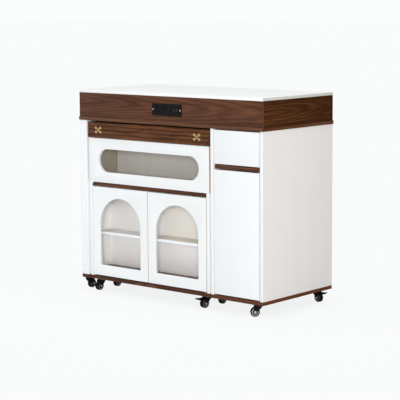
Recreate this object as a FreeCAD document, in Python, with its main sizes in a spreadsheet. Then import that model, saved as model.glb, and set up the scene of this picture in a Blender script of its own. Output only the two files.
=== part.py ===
import FreeCAD, Part
import math
import os
import re
import Sketcher
from FreeCAD import Placement, Rotation, Vector

# Kitchen island on castors, with a cart that rolls out of its bay, a folding
# leaf that slides out above the cart, and a drawer and cupboard at the right.
# X runs to the right, Y to the back and Z up. The origin is on the floor, in
# the middle of the whole outline, which brake pedals widen at the front and
# at the right.

# Driving dimensions, in millimetres.
SIZES = {
    # The main unit.
    "island_height": 865, "worktop_length": 1000, "worktop_depth": 460,
    "worktop_thick": 12, "worktop_arris": 0.8, "apron_height": 118,
    "board": 15, "apron_lip": 2.5, "leg_width": 40, "cabinet_width": 266,
    "back_panel": 6, "back_inset": 3,
    # The folding leaf and its runners.
    "leaf_thick": 33, "leaf_gap": 6, "leaf_side_gap": 7.5, "leaf_arris": 1.5,
    "leaf_back_gap": 21, "upper_leaf_depth": 285,
    "runner_reach": 8, "runner_rail": 10, "runner_play": 1,
    "runner_front": 30, "runner_back": 12, "groove_drop": 12,
    # The butterfly hinges of the leaf.
    "hinge_inset": 63, "lobe_spread": 13, "lobe_rise": 9, "lobe_radius": 6.2,
    "hinge_waist": 5, "hinge_plate": 1.6, "hinge_valley": 6,
    "barrel_radius": 1.8, "barrel_sink": 0.5, "barrel_play": 0.2,
    # The cart.
    "cart_side_gap": 10, "cart_setback": 3, "cart_depth": 165,
    "cart_head_gap": 1.5, "window_height": 189, "window_side": 55.5,
    "window_rail": 45, "cart_slot": 20, "slot_setback": 9,
    "door_gap": 2, "door_floor_gap": 5, "cupboard_depth": 109,
    "cupboard_floor_top": 97, "floor_setback": 20, "shelf_top": 257,
    "shelf_thick": 12, "shelf_setback": 22,
    "stop_block": 20, "stop_length": 60, "stop_height": 300,
    # The arched glass doors.
    "door_stile": 43, "arch_top_rail": 43.5, "arch_bottom_rail": 46,
    "glass_lip": 4, "glass_rebate": 8, "glass_thick": 3, "glass_play": 0.5,
    "pivot_inset": 9, "pivot_setback": 5, "pivot_radius": 2,
    "pivot_play": 0.2, "pivot_depth": 12, "bracket_thick": 1.5,
    "bracket_width": 14, "bracket_rise": 12,
    # The drawers.
    "drawer_board": 12, "drawer_bottom": 6, "bottom_rise": 6,
    "slide_width": 13, "slide_height": 36, "slide_sheet": 1.5,
    "slide_play": 0.3, "slide_bar": 11,
    "slide_end_gap": 10,
    "cart_box_lift": 18, "cart_box_height": 150, "cart_box_back_gap": 19,
    "cabinet_box_lift": 8, "cabinet_box_height": 100, "cabinet_box_back_gap": 36,
    # The drawer and cupboard at the right.
    "drawer_head_gap": 4, "drawer_height": 135, "cabinet_slot": 24,
    "cabinet_shelf_rise": 250, "cabinet_shelf_setback": 25,
    # The power outlet.
    "outlet_length": 160, "outlet_height": 50, "outlet_proud": 2,
    "outlet_offset": 3, "outlet_drop": 54.5, "housing_inset": 10,
    "housing_depth": 45, "housing_play": 0.5,
    "socket_side": 33, "socket_sink": 1, "socket_pitch": 38, "first_socket": 38,
    "prong_width": 2, "prong_height": 7, "prong_pitch": 12.7, "prong_depth": 9,
    "ground_width": 4.8, "ground_drop": 8, "prong_rise": 4,
    "usb_length": 12.4, "usb_height": 5, "usb_depth": 10, "usb_pitch": 16,
    "first_usb": 37, "tongue_height": 1.8,
    # The castors.
    "wheel_radius": 19, "wheel_width": 17, "wheel_trail": 14,
    "axle_radius": 2, "axle_play": 0.25,
    "plate_side": 38, "plate_thick": 2, "race_radius": 13, "race_thick": 2,
    "race_gap": 0.3, "fork_sheet": 2, "fork_gap": 0.8, "fork_clear": 5.7,
    "fork_nose": 13,
    "fork_drop": 5, "fork_boss": 6,
    "pedal_thick": 2.4, "pedal_reach": 58, "pedal_heel": 7, "pedal_lift": 3.2,
    "pedal_side": 0.4, "pedal_rise": 2.6, "pedal_tip": 18,
    "caster_side_inset": 42, "front_caster_inset": 25, "leg_rear_inset": 58,
    "main_rear_side": 40, "main_rear_inset": 53,
    "leg_caster_inset": 18, "cart_caster_side": 37, "cart_caster_inset": 27,
    # One overrun for every cut.
    "overrun": 2,
}

# Shares of a radius that place the corners of an outline round a circle, and
# the cosine and sine of the 10 degrees by which two castors stand askew.
SHARES = {"wide_share": 0.8, "slim_share": 0.6, "small_share": 0.2,
          "lean_cosine": 0.984807753, "lean_sine": 0.173648178}

# Places and lengths that follow from the driving dimensions.
PLACES = {
    "caster_height": "2 * wheel_radius + fork_clear + fork_sheet + race_gap"
                     " + race_thick + plate_thick",
    "half_depth": "worktop_depth / 2",
    "lean_reach": "pedal_reach * lean_cosine + pedal_width / 2 * lean_sine",
    "pedal_overhang": "lean_reach - cart_setback - cart_caster_inset - apron_lip",
    "side_overhang": "lean_reach - main_rear_side - apron_lip",
    "front": "pedal_overhang / 2 - half_depth",
    "rear": "front + worktop_depth",
    "middle_depth": "front + half_depth",
    "left_end": "-(worktop_length + side_overhang) / 2",
    "right_end": "left_end + worktop_length",
    "middle_length": "left_end + worktop_length / 2",
    "top_under": "island_height - worktop_thick",
    "floor_under": "top_under - apron_height",
    "floor_top": "floor_under + board",
    "base_top": "caster_height + board",
    "side_height": "floor_under - base_top",
    "bay_left": "left_end + leg_width",
    "bay_right": "right_end - cabinet_width",
    "bay_width": "bay_right - bay_left",
    "back_face": "rear - back_inset - back_panel",
    # The leaf.
    "leaf_top": "floor_under - leaf_gap",
    "leaf_joint": "leaf_top - leaf_thick",
    "leaf_under": "leaf_joint - leaf_thick",
    "leaf_left": "bay_left + leaf_side_gap",
    "leaf_length": "bay_width - 2 * leaf_side_gap",
    "lower_leaf_depth": "back_face - front - leaf_back_gap",
    "groove_height": "runner_rail + runner_play",
    "groove_depth": "runner_reach + runner_play",
    "runner_width": "leaf_side_gap + runner_reach",
    "groove_under": "leaf_thick - groove_drop - groove_height",
    "runner_top": "leaf_joint - groove_drop",
    "runner_length": "back_face - runner_back - front - runner_front",
    "groove_start": "runner_front - runner_play",
    # The butterfly hinges, about the middle of the joint between the leaves.
    "knuckle_gap": "barrel_radius + barrel_play",
    "lobe_far": "lobe_spread + wide_share * lobe_radius",
    "lobe_low": "lobe_rise - slim_share * lobe_radius",
    # The cart.
    "cart_left": "bay_left + cart_side_gap",
    "cart_width": "bay_width - 2 * cart_side_gap",
    "cart_right": "cart_left + cart_width",
    "cart_front": "front + cart_setback",
    "cart_rear": "cart_front + cart_depth",
    "cart_top": "leaf_under - cart_head_gap",
    "cart_inner_left": "cart_left + board",
    "cart_inner_width": "cart_width - 2 * board",
    "cart_side_height": "cart_top - base_top",
    "window_under": "cart_top - window_height",
    "window_length": "cart_width - 2 * window_side",
    "window_opening": "window_height - 2 * window_rail",
    "cart_door_top": "window_under - cart_slot",
    "cart_door_under": "base_top + door_floor_gap",
    "cart_door_height": "cart_door_top - cart_door_under",
    "cart_door_width": "(cart_inner_width - 3 * door_gap) / 2",
    "cart_divider_under": "cart_door_top + (cart_slot - board) / 2",
    "cart_divider_top": "cart_divider_under + board",
    "cart_inner_front": "cart_front + board",
    "cart_panel_front": "cart_inner_front + door_gap / 4",
    "cupboard_back": "cart_front + cupboard_depth",
    "arch_radius": "cart_door_width / 2 - door_stile",
    "arch_spring": "cart_door_height - arch_top_rail - arch_radius",
    "glass_radius": "arch_radius + glass_rebate - glass_play",
    # The drawers.
    "cart_box_left": "cart_inner_left + slide_width",
    "cart_box_width": "cart_inner_width - 2 * slide_width",
    "cart_box_under": "window_under + cart_box_lift",
    "cart_box_depth": "cart_depth - board - back_panel - cart_box_back_gap",
    "cart_slide_length": "cart_box_depth - slide_end_gap",
    "cabinet_inner_left": "bay_right + board",
    "cabinet_inner_width": "cabinet_width - 2 * board",
    "cabinet_front_left": "cabinet_inner_left + door_gap",
    "cabinet_front_width": "cabinet_inner_width - 2 * door_gap",
    "drawer_under": "floor_under - drawer_head_gap - drawer_height",
    "cabinet_door_top": "drawer_under - cabinet_slot",
    "cabinet_door_height": "cabinet_door_top - cart_door_under",
    "cabinet_divider_under": "cabinet_door_top + (cabinet_slot - board) / 2",
    "cabinet_box_left": "cabinet_inner_left + slide_width",
    "cabinet_box_width": "cabinet_inner_width - 2 * slide_width",
    "cabinet_box_under": "drawer_under + cabinet_box_lift",
    "cabinet_box_depth": "back_face - front - board - cabinet_box_back_gap",
    "cabinet_slide_length": "cabinet_box_depth - slide_end_gap",
    # The power outlet.
    "outlet_left": "middle_length + outlet_offset - outlet_length / 2",
    "outlet_under": "top_under - outlet_drop - outlet_height / 2",
    "housing_length": "outlet_length - 2 * housing_inset",
    "housing_height": "outlet_height - 2 * housing_inset / 2",
    "housing_left": "outlet_left + housing_inset",
    "housing_under": "outlet_under + housing_inset / 2",
    # The castors, in their own frame: origin on the floor under the swivel.
    "plate_under": "caster_height - plate_thick",
    "race_under": "plate_under - race_thick",
    "fork_top": "race_under - race_gap",
    "fork_under": "fork_top - fork_sheet",
    "cheek_inside": "wheel_width / 2 + fork_gap",
    "cheek_outside": "cheek_inside + fork_sheet",
    "axle_bore": "axle_radius + axle_play",
    "pedal_width": "2 * cheek_inside - 2 * pedal_side",
    "pedal_axis": "2 * wheel_radius + pedal_lift",
    "pedal_end": "pedal_reach - pedal_heel",
    "cheek_foot": "fork_under - fork_drop",
    # The swivel axes of the castors.
    "leg_caster_x": "left_end + leg_caster_inset",
    "main_caster_x": "right_end - caster_side_inset",
    "main_rear_x": "right_end - main_rear_side",
    "main_front_y": "front + front_caster_inset",
    "leg_rear_y": "rear - leg_rear_inset",
    "main_rear_y": "rear - main_rear_inset",
    "cart_left_x": "cart_left + cart_caster_side",
    "cart_right_x": "cart_right - cart_caster_side",
    "cart_front_y": "cart_front + cart_caster_inset",
    "cart_rear_y": "cart_rear - cart_caster_inset",
}

NAME = re.compile(r"[a-z][a-z_]+")


def qualified(formula, home=""):
    """Write each name in a formula with its sheet, but for the home sheet's."""
    def with_sheet(found):
        word = found.group(0)
        sheet = "places."
        if word in SIZES:
            sheet = "sizes."
        elif word in SHARES:
            sheet = "shares."
        if sheet == home:
            return word
        return sheet + word
    return NAME.sub(with_sheet, formula)


def fill_sheet(name, rows):
    """A sheet with one named cell for each row."""
    sheet = doc.addObject("Spreadsheet::Sheet", name)
    for row, (alias, content) in enumerate(rows.items(), start=1):
        sheet.set("A%d" % row, alias)
        sheet.setAlias("B%d" % row, alias)
        sheet.set("B%d" % row, str(content))
    return sheet


doc = FreeCAD.newDocument("kitchen_island")
fill_sheet("sizes", SIZES)
fill_sheet("shares", SHARES)
places_sheet = fill_sheet("places", {name: "=" + qualified(formula, "places.")
                                     for name, formula in PLACES.items()})
doc.recompute()
nodes = []


def number(formula):
    """Work out a formula of sizes and places."""
    return float(places_sheet.evalExpression(qualified(formula)))


def bind(thing, **formulas):
    """Tie properties of an object to formulas of sizes and places."""
    for name, formula in formulas.items():
        thing.setExpression(name, qualified(formula))


def locate(thing, x, y, z):
    """Tie an object's position to three formulas."""
    for axis, formula in zip("xyz", (x, y, z)):
        if formula != "0":
            thing.setExpression("Placement.Base." + axis, qualified(formula))


def keep(thing, label):
    """Give a finished sub-part its label and list it for writing."""
    thing.Label = label
    nodes.append(thing)
    return thing


def block(name, corner, size):
    """A rectangular board from its lowest corner and its three sizes."""
    box = doc.addObject("Part::Box", name)
    bind(box, Length=size[0], Width=size[1], Height=size[2])
    locate(box, *corner)
    return box


def group(name, pieces):
    """Several separate solids that share one node."""
    compound = doc.addObject("Part::Compound", name)
    compound.Links = pieces
    return keep(compound, name)


def cut(name, base, tool):
    """A solid with another one taken out of it."""
    result = doc.addObject("Part::Cut", name)
    result.Base = base
    result.Tool = tool
    return result


def new_body(name):
    """An empty body."""
    return doc.addObject("PartDesign::Body", name)


def sketch_on(body, role, name, offset="0"):
    """A sketch on one of the body's own planes, moved along its normal."""
    plane = next(item for item in body.Origin.OriginFeatures if item.Role == role)
    sketch = body.newObject("Sketcher::SketchObject", name)
    sketch.AttachmentSupport = [(plane, "")]
    sketch.MapMode = "FlatFace"
    if offset != "0":
        sketch.setExpression("AttachmentOffset.Base.z", qualified(offset))
    return sketch


def pin_point(sketch, shape, which, x, y):
    """Fix a sketch point at two formulas, measured from the sketch's origin."""
    for kind, axis_line, formula in (("DistanceX", -2, x), ("DistanceY", -1, y)):
        if formula == "0":
            sketch.addConstraint(Sketcher.Constraint("PointOnObject", shape, which, axis_line))
            continue
        value = number(formula)
        if value >= 0:
            ends = (-1, 1, shape, which)
            signed = formula
        else:
            ends = (shape, which, -1, 1)
            signed = "-(%s)" % formula
        index = sketch.addConstraint(Sketcher.Constraint(kind, *ends, abs(value)))
        sketch.setExpression("Constraints[%d]" % index, qualified(signed))


def polygon(sketch, corners):
    """A closed outline of straight lines through corners given as formulas."""
    points = [Vector(number(x), number(y), 0) for x, y in corners]
    first = sketch.GeometryCount
    count = len(points)
    for index in range(count):
        line = Part.LineSegment(points[index], points[(index + 1) % count])
        sketch.addGeometry(line, False)
    for index in range(count):
        following = first + (index + 1) % count
        sketch.addConstraint(
            Sketcher.Constraint("Coincident", first + index, 2, following, 1))
    for index, (x, y) in enumerate(corners):
        pin_point(sketch, first + index, 1, x, y)


def rectangle(sketch, left, low, length, height):
    """A rectangle from its lower left corner."""
    right = "%s + %s" % (left, length)
    high = "%s + %s" % (low, height)
    polygon(sketch, [(left, low), (right, low), (right, high), (left, high)])


def circle(sketch, x, y, radius):
    """A circle from its centre and radius."""
    centre = Vector(number(x), number(y), 0)
    shape = Part.Circle(centre, Vector(0, 0, 1), number(radius))
    index = sketch.addGeometry(shape, False)
    pin_point(sketch, index, 3, x, y)
    size = sketch.addConstraint(Sketcher.Constraint("Radius", index, number(radius)))
    sketch.setExpression("Constraints[%d]" % size, qualified(radius))


def arc(sketch, x, y, radius, start, end):
    """An arc about a centre, from one angle to another in degrees."""
    full = Part.Circle(Vector(number(x), number(y), 0), Vector(0, 0, 1), number(radius))
    shape = Part.ArcOfCircle(full, math.radians(start), math.radians(end))
    index = sketch.addGeometry(shape, False)
    pin_point(sketch, index, 3, x, y)
    size = sketch.addConstraint(Sketcher.Constraint("Radius", index, number(radius)))
    sketch.setExpression("Constraints[%d]" % size, qualified(radius))
    return index


def stadium(sketch, x, y, length, height):
    """A long opening with round ends, from its centre, length and height."""
    radius = "(%s) / 2" % height
    reach = "(%s - %s) / 2" % (length, height)
    right = arc(sketch, "%s + %s" % (x, reach), y, radius, -90, 90)
    left = arc(sketch, "%s - %s" % (x, reach), y, radius, 90, 270)
    ends = {}
    for name, shift in (("low", -1), ("high", 1)):
        level = number(y) + shift * number(radius)
        span = [Vector(number(x) + side * number(reach), level, 0) for side in (-1, 1)]
        ends[name] = sketch.addGeometry(Part.LineSegment(*span), False)
    for line, left_end, right_end in ((ends["low"], 2, 1), (ends["high"], 1, 2)):
        for shape, shape_end, line_end in ((left, left_end, 1), (right, right_end, 2)):
            sketch.addConstraint(
                Sketcher.Constraint("Tangent", line, line_end, shape, shape_end))


def archway(sketch, x, low, spring, radius):
    """An opening with upright sides under a half circle."""
    top = arc(sketch, x, spring, radius, 0, 180)
    centre, foot, level = number(x), number(low), number(spring)
    half = number(radius)
    corners = [Vector(centre - half, level, 0), Vector(centre - half, foot, 0),
               Vector(centre + half, foot, 0), Vector(centre + half, level, 0)]
    lines = [sketch.addGeometry(Part.LineSegment(corners[index], corners[index + 1]), False)
             for index in range(3)]
    joints = [(top, 2, lines[0], 1), (lines[0], 2, lines[1], 1),
              (lines[1], 2, lines[2], 1), (lines[2], 2, top, 1)]
    for joint in joints:
        sketch.addConstraint(Sketcher.Constraint("Coincident", *joint))
    sketch.addConstraint(Sketcher.Constraint("Vertical", lines[0]))
    sketch.addConstraint(Sketcher.Constraint("Vertical", lines[2]))
    sketch.addConstraint(Sketcher.Constraint("Horizontal", lines[1]))
    sketch.addConstraint(Sketcher.Constraint("Horizontal", top, 2, top, 3))
    sketch.addConstraint(Sketcher.Constraint("Horizontal", top, 1, top, 3))
    index = sketch.addConstraint(
        Sketcher.Constraint("DistanceY", -1, 1, lines[1], 1, foot))
    sketch.setExpression("Constraints[%d]" % index, qualified(low))


def pad(body, sketch, name, length, backwards=False, both=False):
    """Add the sketch's outline to the body, to one side or about its middle."""
    feature = body.newObject("PartDesign::Pad", name)
    feature.Profile = sketch
    feature.Reversed = backwards
    feature.Midplane = both
    bind(feature, Length=length)
    return feature


def pocket(body, sketch, name, depth=None, backwards=False):
    """Cut the sketch's outline out of the body, right through if no depth."""
    feature = body.newObject("PartDesign::Pocket", name)
    feature.Profile = sketch
    feature.Reversed = backwards
    if depth is None:
        feature.Type = "ThroughAll"
    else:
        bind(feature, Length=depth)
    return feature


def ease(body, feature, direction, size, name):
    """Chamfer the edges of the face that lies furthest in one direction."""
    doc.recompute()
    faces = feature.Shape.Faces
    index = max(range(len(faces)), key=lambda item: faces[item].CenterOfMass.dot(direction))
    chamfer = body.newObject("PartDesign::Chamfer", name)
    chamfer.Base = (feature, ["Face%d" % (index + 1)])
    bind(chamfer, Size=size)
    return chamfer


def plain_board_body(name, corner, size):
    """A body with one padded rectangle, its lowest corner at the corner."""
    body = new_body(name)
    sketch = sketch_on(body, "XY_Plane", name + "_outline")
    rectangle(sketch, "0", "0", size[0], size[1])
    first = pad(body, sketch, name + "_pad", size[2])
    locate(body, *corner)
    return body, first


UP = Vector(0, 0, 1)
DOWN = Vector(0, 0, -1)


def mitred_board(name, x, y, outer, inner, thick, height, turn):
    """An apron board whose ends are cut at 45 degrees, turned about Z."""
    wedge = doc.addObject("Part::Wedge", name)
    half = "(%s) / 2" % outer
    short = "(%s) / 2" % inner
    bind(wedge, Xmin="-" + half, Xmax=half, X2min="-" + short, X2max=short,
         Ymax=thick, Zmax=height, Z2max=height)
    wedge.Ymin = wedge.Zmin = wedge.Z2min = 0
    wedge.Placement = Placement(Vector(), Rotation(UP, turn))
    locate(wedge, x, y, "floor_top")
    return wedge


def make_worktop():
    """The thin pale slab, with its upper edges eased."""
    body, slab = plain_board_body(
        "worktop", ("left_end", "front", "top_under"),
        ("worktop_length", "worktop_depth", "worktop_thick"))
    ease(body, slab, UP, "worktop_arris", "worktop_arris_cut")
    keep(body, "worktop")


def make_apron():
    """Four mitred boards under the slab, and the board that closes them."""
    height = "top_under - floor_top"
    inner_length = "worktop_length - 2 * board"
    inner_depth = "worktop_depth - 2 * board"
    front = mitred_board("apron_front_board", "middle_length", "front", "worktop_length",
                         inner_length, "board", height, 0)
    window = block("apron_front_cut",
                   ("housing_left - housing_play", "front - overrun",
                    "housing_under - housing_play"),
                   ("housing_length + 2 * housing_play", "board + 2 * overrun",
                    "housing_height + 2 * housing_play"))
    keep(cut("apron_front", front, window), "apron_front")
    back = mitred_board("apron_back", "middle_length", "rear", "worktop_length",
                        inner_length, "board", height, 180)
    keep(back, "apron_back")
    left = mitred_board("apron_left_board", "left_end", "middle_depth", "worktop_depth",
                        inner_depth, "board", height, 270)
    right = mitred_board("apron_right_board", "right_end", "middle_depth",
                         "worktop_depth", inner_depth, "board", height, 90)
    group("apron_ends", [left, right])
    body, floor = plain_board_body(
        "apron_floor", ("left_end - apron_lip", "front - apron_lip", "floor_under"),
        ("worktop_length + 2 * apron_lip", "worktop_depth + 2 * apron_lip", "board"))
    ease(body, floor, DOWN, "worktop_arris", "apron_floor_arris")
    keep(body, "apron_floor")


def make_leg():
    """The slim leg at the left: two panels, two fillers and a base."""
    panel = ("board", "worktop_depth", "side_height")
    outer = block("leg_outer_panel", ("left_end", "front", "base_top"), panel)
    inner = block("leg_inner_panel", ("bay_left - board", "front", "base_top"), panel)
    group("leg_panels", [outer, inner])
    filler = ("leg_width - 2 * board", "board", "side_height")
    front = block("leg_front_filler", ("left_end + board", "front", "base_top"), filler)
    back = block("leg_back_filler", ("left_end + board", "rear - board", "base_top"),
                 filler)
    group("leg_fillers", [front, back])
    keep(block("leg_base", ("left_end", "front", "caster_height"),
               ("leg_width", "worktop_depth", "board")), "leg_base")


def make_cabinet():
    """The cupboard at the right, and the back that closes it and the bay."""
    left = block("cabinet_left_panel", ("bay_right", "front", "base_top"),
                 ("board", "back_face - front", "side_height"))
    right = block("cabinet_right_panel", ("right_end - board", "front", "base_top"),
                  ("board", "worktop_depth", "side_height"))
    group("cabinet_panels", [left, right])
    keep(block("cabinet_base", ("bay_right", "front", "caster_height"),
               ("cabinet_width", "worktop_depth", "board")), "cabinet_base")
    keep(block("cabinet_divider",
               ("cabinet_inner_left", "front + slot_setback", "cabinet_divider_under"),
               ("cabinet_inner_width", "back_face - front - slot_setback", "board")),
         "cabinet_divider")
    keep(block("cabinet_shelf",
               ("cabinet_inner_left", "front + cabinet_shelf_setback",
                "base_top + cabinet_shelf_rise"),
               ("cabinet_inner_width", "back_face - front - cabinet_shelf_setback",
                "board")), "cabinet_shelf")
    keep(block("back_panel", ("bay_left", "back_face", "base_top"),
               ("right_end - board - bay_left", "back_panel", "side_height")),
         "back_panel")


def make_bay_rails():
    """Hardwood runners for the leaf, and the blocks that stop the cart."""
    runner = ("runner_width", "runner_length", "runner_rail")
    stop = ("stop_block", "stop_block", "stop_length")
    pieces = [
        block("left_runner", ("bay_left", "front + runner_front", "runner_top - runner_rail"),
              runner),
        block("right_runner", ("bay_right - runner_width", "front + runner_front",
                               "runner_top - runner_rail"), runner),
        block("left_stop", ("bay_left", "cart_rear", "stop_height"), stop),
        block("right_stop", ("bay_right - stop_block", "cart_rear", "stop_height"), stop),
    ]
    group("bay_rails", pieces)


def make_leaf():
    """Two walnut boards; the lower one slides on grooves in its ends."""
    body, board = plain_board_body(
        "lower_leaf", ("leaf_left", "front", "leaf_under"),
        ("leaf_length", "lower_leaf_depth", "leaf_thick"))
    ease(body, board, DOWN, "leaf_arris", "lower_leaf_arris")
    for side, left in (("left", "-overrun"), ("right", "leaf_length - groove_depth")):
        sketch = sketch_on(body, "XY_Plane", "groove_%s_outline" % side, "groove_under")
        rectangle(sketch, left, "groove_start", "groove_depth + overrun",
                  "lower_leaf_depth - groove_start + overrun")
        pocket(body, sketch, "groove_%s" % side, "groove_height", backwards=True)
    cut_hinge_notches(body, "lower", "leaf_thick")
    keep(body, "lower_leaf")
    body, board = plain_board_body(
        "upper_leaf", ("leaf_left", "front", "leaf_joint"),
        ("leaf_length", "upper_leaf_depth", "leaf_thick"))
    ease(body, board, UP, "leaf_arris", "upper_leaf_arris")
    cut_hinge_notches(body, "upper", "0")
    keep(body, "upper_leaf")


def cut_hinge_notches(body, side, level):
    """Small notches in a leaf's front edge, where the hinge barrels sit."""
    sketch = sketch_on(body, "XZ_Plane", side + "_notch_outline")
    for centre in ("hinge_inset", "leaf_length - hinge_inset"):
        rectangle(sketch, "%s - hinge_waist - barrel_play" % centre,
                  "%s - knuckle_gap" % level,
                  "2 * hinge_waist + 2 * barrel_play", "2 * knuckle_gap")
    pocket(body, sketch, side + "_notches", "knuckle_gap - barrel_sink")


def hinge_wing(name):
    """One wing of a butterfly hinge: a waist that spreads into two round lobes."""
    body = new_body(name)
    sketch = sketch_on(body, "XZ_Plane", name + "_waist")
    polygon(sketch, [("-hinge_waist", "knuckle_gap"), ("hinge_waist", "knuckle_gap"),
                     ("lobe_far", "lobe_low"), ("lobe_spread", "lobe_rise"),
                     ("0", "hinge_valley"), ("-lobe_spread", "lobe_rise"),
                     ("-lobe_far", "lobe_low")])
    pad(body, sketch, name + "_plate", "hinge_plate")
    sketch = sketch_on(body, "XZ_Plane", name + "_lobes_outline")
    for side in ("lobe_spread", "-lobe_spread"):
        circle(sketch, side, "lobe_rise", "lobe_radius")
    pad(body, sketch, name + "_lobes", "hinge_plate")
    return body


def make_leaf_hinges():
    """Two brass butterfly hinges on the front edge of the leaves."""
    pieces = []
    for side, x in (("left", "leaf_left + hinge_inset"),
                    ("right", "leaf_left + leaf_length - hinge_inset")):
        upper = hinge_wing("%s_upper_wing" % side)
        locate(upper, x, "front", "leaf_joint")
        lower = hinge_wing("%s_lower_wing" % side)
        lower.Placement = Placement(Vector(), Rotation(Vector(0, 1, 0), 180))
        locate(lower, x, "front", "leaf_joint")
        barrel = doc.addObject("Part::Cylinder", "%s_hinge_barrel" % side)
        bind(barrel, Radius="barrel_radius", Height="2 * hinge_waist")
        barrel.Placement = Placement(Vector(), Rotation(Vector(0, 1, 0), 90))
        locate(barrel, "%s - hinge_waist" % x, "front - barrel_sink", "leaf_joint")
        pieces += [upper, lower, barrel]
    group("leaf_hinges", pieces)


def make_cart_carcass():
    """The cart's boards: notched sides, base, floor, divider, top, backs."""
    sides = []
    for side, x in (("left", "cart_left"), ("right", "cart_right - board")):
        body = new_body("cart_%s_panel" % side)
        sketch = sketch_on(body, "YZ_Plane", "cart_%s_panel_outline" % side)
        notch = "cart_panel_front - cart_front"
        step = "window_under - base_top"
        polygon(sketch, [("0", "0"), ("cart_depth", "0"),
                         ("cart_depth", "cart_side_height"),
                         (notch, "cart_side_height"), (notch, step), ("0", step)])
        pad(body, sketch, "cart_%s_panel_pad" % side, "board")
        locate(body, x, "cart_front", "base_top")
        sides.append(body)
    group("cart_panels", sides)
    inside = "cart_inner_width"
    keep(block("cart_base", ("cart_left", "cart_front", "caster_height"),
               ("cart_width", "cart_depth", "board")), "cart_base")
    keep(block("cart_floor", ("cart_inner_left", "cart_front + floor_setback",
                              "cupboard_floor_top - board"),
               (inside, "cart_depth - floor_setback", "board")), "cart_floor")
    keep(block("cart_divider", ("cart_inner_left", "cart_front + slot_setback",
                                "cart_divider_under"),
               (inside, "cart_depth - slot_setback", "board")), "cart_divider")
    keep(block("cart_top", ("cart_inner_left", "cart_panel_front", "cart_top - board"),
               (inside, "cart_rear - cart_panel_front", "board")), "cart_top")
    keep(block("cart_shelf", ("cart_inner_left", "cart_front + shelf_setback",
                              "shelf_top - shelf_thick"),
               (inside, "cupboard_back - cart_front - shelf_setback",
                "shelf_thick")),
         "cart_shelf")
    lower = block("cupboard_back_panel",
                  ("cart_inner_left", "cupboard_back", "cupboard_floor_top"),
                  (inside, "back_panel", "cart_divider_under - cupboard_floor_top"))
    upper = block("drawer_bay_back",
                  ("cart_inner_left", "cart_rear - back_panel", "cart_divider_top"),
                  (inside, "back_panel", "cart_top - board - cart_divider_top"))
    group("cart_backs", [lower, upper])


def make_window_front():
    """The drawer front with its long round-ended window."""
    body = new_body("window_front_body")
    sketch = sketch_on(body, "XZ_Plane", "window_front_outline")
    rectangle(sketch, "0", "0", "cart_width", "window_height")
    pad(body, sketch, "window_front_pad", "board", backwards=True)
    sketch = sketch_on(body, "XZ_Plane", "window_outline")
    stadium(sketch, "cart_width / 2", "window_height / 2", "window_length",
            "window_opening")
    pocket(body, sketch, "window")
    locate(body, "cart_left", "cart_front", "window_under")
    keep(body, "window_front")


def drawer_box(name, left, front, under, width, depth, height, runner_length):
    """Two sides, a back, a bottom and the moving bars of the two slides."""
    side = ("drawer_board", depth, height)
    inner = "%s - 2 * drawer_board" % width
    middle = "%s + %s / 2" % (under, height)
    bar_height = "slide_height - 2 * slide_sheet - 2 * slide_play"
    bar = ("slide_bar", runner_length, bar_height)
    bar_under = "%s - (%s) / 2" % (middle, bar_height)
    right = "%s + %s" % (left, width)
    pieces = [
        block(name + "_left_side", (left, front, under), side),
        block(name + "_right_side", ("%s - drawer_board" % right, front, under), side),
        block(name + "_back", ("%s + drawer_board" % left,
                               "%s + %s - drawer_board" % (front, depth), under),
              (inner, "drawer_board", height)),
        block(name + "_bottom", ("%s + drawer_board" % left, front,
                                 "%s + bottom_rise" % under),
              (inner, "%s - drawer_board" % depth, "drawer_bottom")),
        block(name + "_left_bar", ("%s - slide_bar" % left, front, bar_under), bar),
        block(name + "_right_bar", (right, front, bar_under), bar),
    ]
    group(name, pieces)


def slide_channels(name, left, right, front, middle, runner_length):
    """The fixed steel channels that a drawer's bars run in."""
    size = ("slide_width - slide_sheet", runner_length, "slide_height")
    hollow = ("slide_width", "%s + 2 * overrun" % runner_length,
              "slide_height - 2 * slide_sheet")
    under = "%s - slide_height / 2" % middle
    channels = []
    for side, start, inside in (("left", left, "%s + slide_sheet" % left),
                                ("right", "%s - slide_width + slide_sheet" % right,
                                 "%s - slide_width - slide_sheet" % right)):
        shell = block("%s_%s_shell" % (name, side), (start, front, under), size)
        space = block("%s_%s_space" % (name, side),
                      (inside, "%s - overrun" % front, "%s + slide_sheet" % under), hollow)
        channels.append(cut("%s_%s_channel" % (name, side), shell, space))
    group(name, channels)


def make_drawers():
    """The cart's wide drawer and the drawer at the right."""
    drawer_box("cart_drawer_box", "cart_box_left", "cart_inner_front", "cart_box_under",
               "cart_box_width", "cart_box_depth", "cart_box_height",
               "cart_slide_length")
    slide_channels("cart_slides", "cart_inner_left", "cart_inner_left + cart_inner_width",
                   "cart_panel_front", "cart_box_under + cart_box_height / 2",
                   "cart_slide_length")
    drawer_box("drawer_box", "cabinet_box_left", "front + board", "cabinet_box_under",
               "cabinet_box_width", "cabinet_box_depth", "cabinet_box_height",
               "cabinet_slide_length")
    slide_channels("cabinet_slides", "cabinet_inner_left",
                   "cabinet_inner_left + cabinet_inner_width",
                   "front + board + runner_play",
                   "cabinet_box_under + cabinet_box_height / 2",
                   "cabinet_slide_length")
    body = plain_board_body(
        "drawer_front_board", ("cabinet_front_left", "front", "drawer_under"),
        ("cabinet_front_width", "board", "drawer_height"))[0]
    keep(body, "drawer_front")


def pivot_holes(body, name, x, height):
    """Blind holes for the pivot pins in a door's top and bottom edges."""
    radius = "pivot_radius + pivot_play"
    for end, offset, upwards in (("bottom", "0", True), ("top", height, False)):
        sketch = sketch_on(body, "XY_Plane", "%s_%s_hole_outline" % (name, end), offset)
        circle(sketch, x, "pivot_setback", radius)
        pocket(body, sketch, "%s_%s_hole" % (name, end), "pivot_depth", backwards=upwards)


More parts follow.
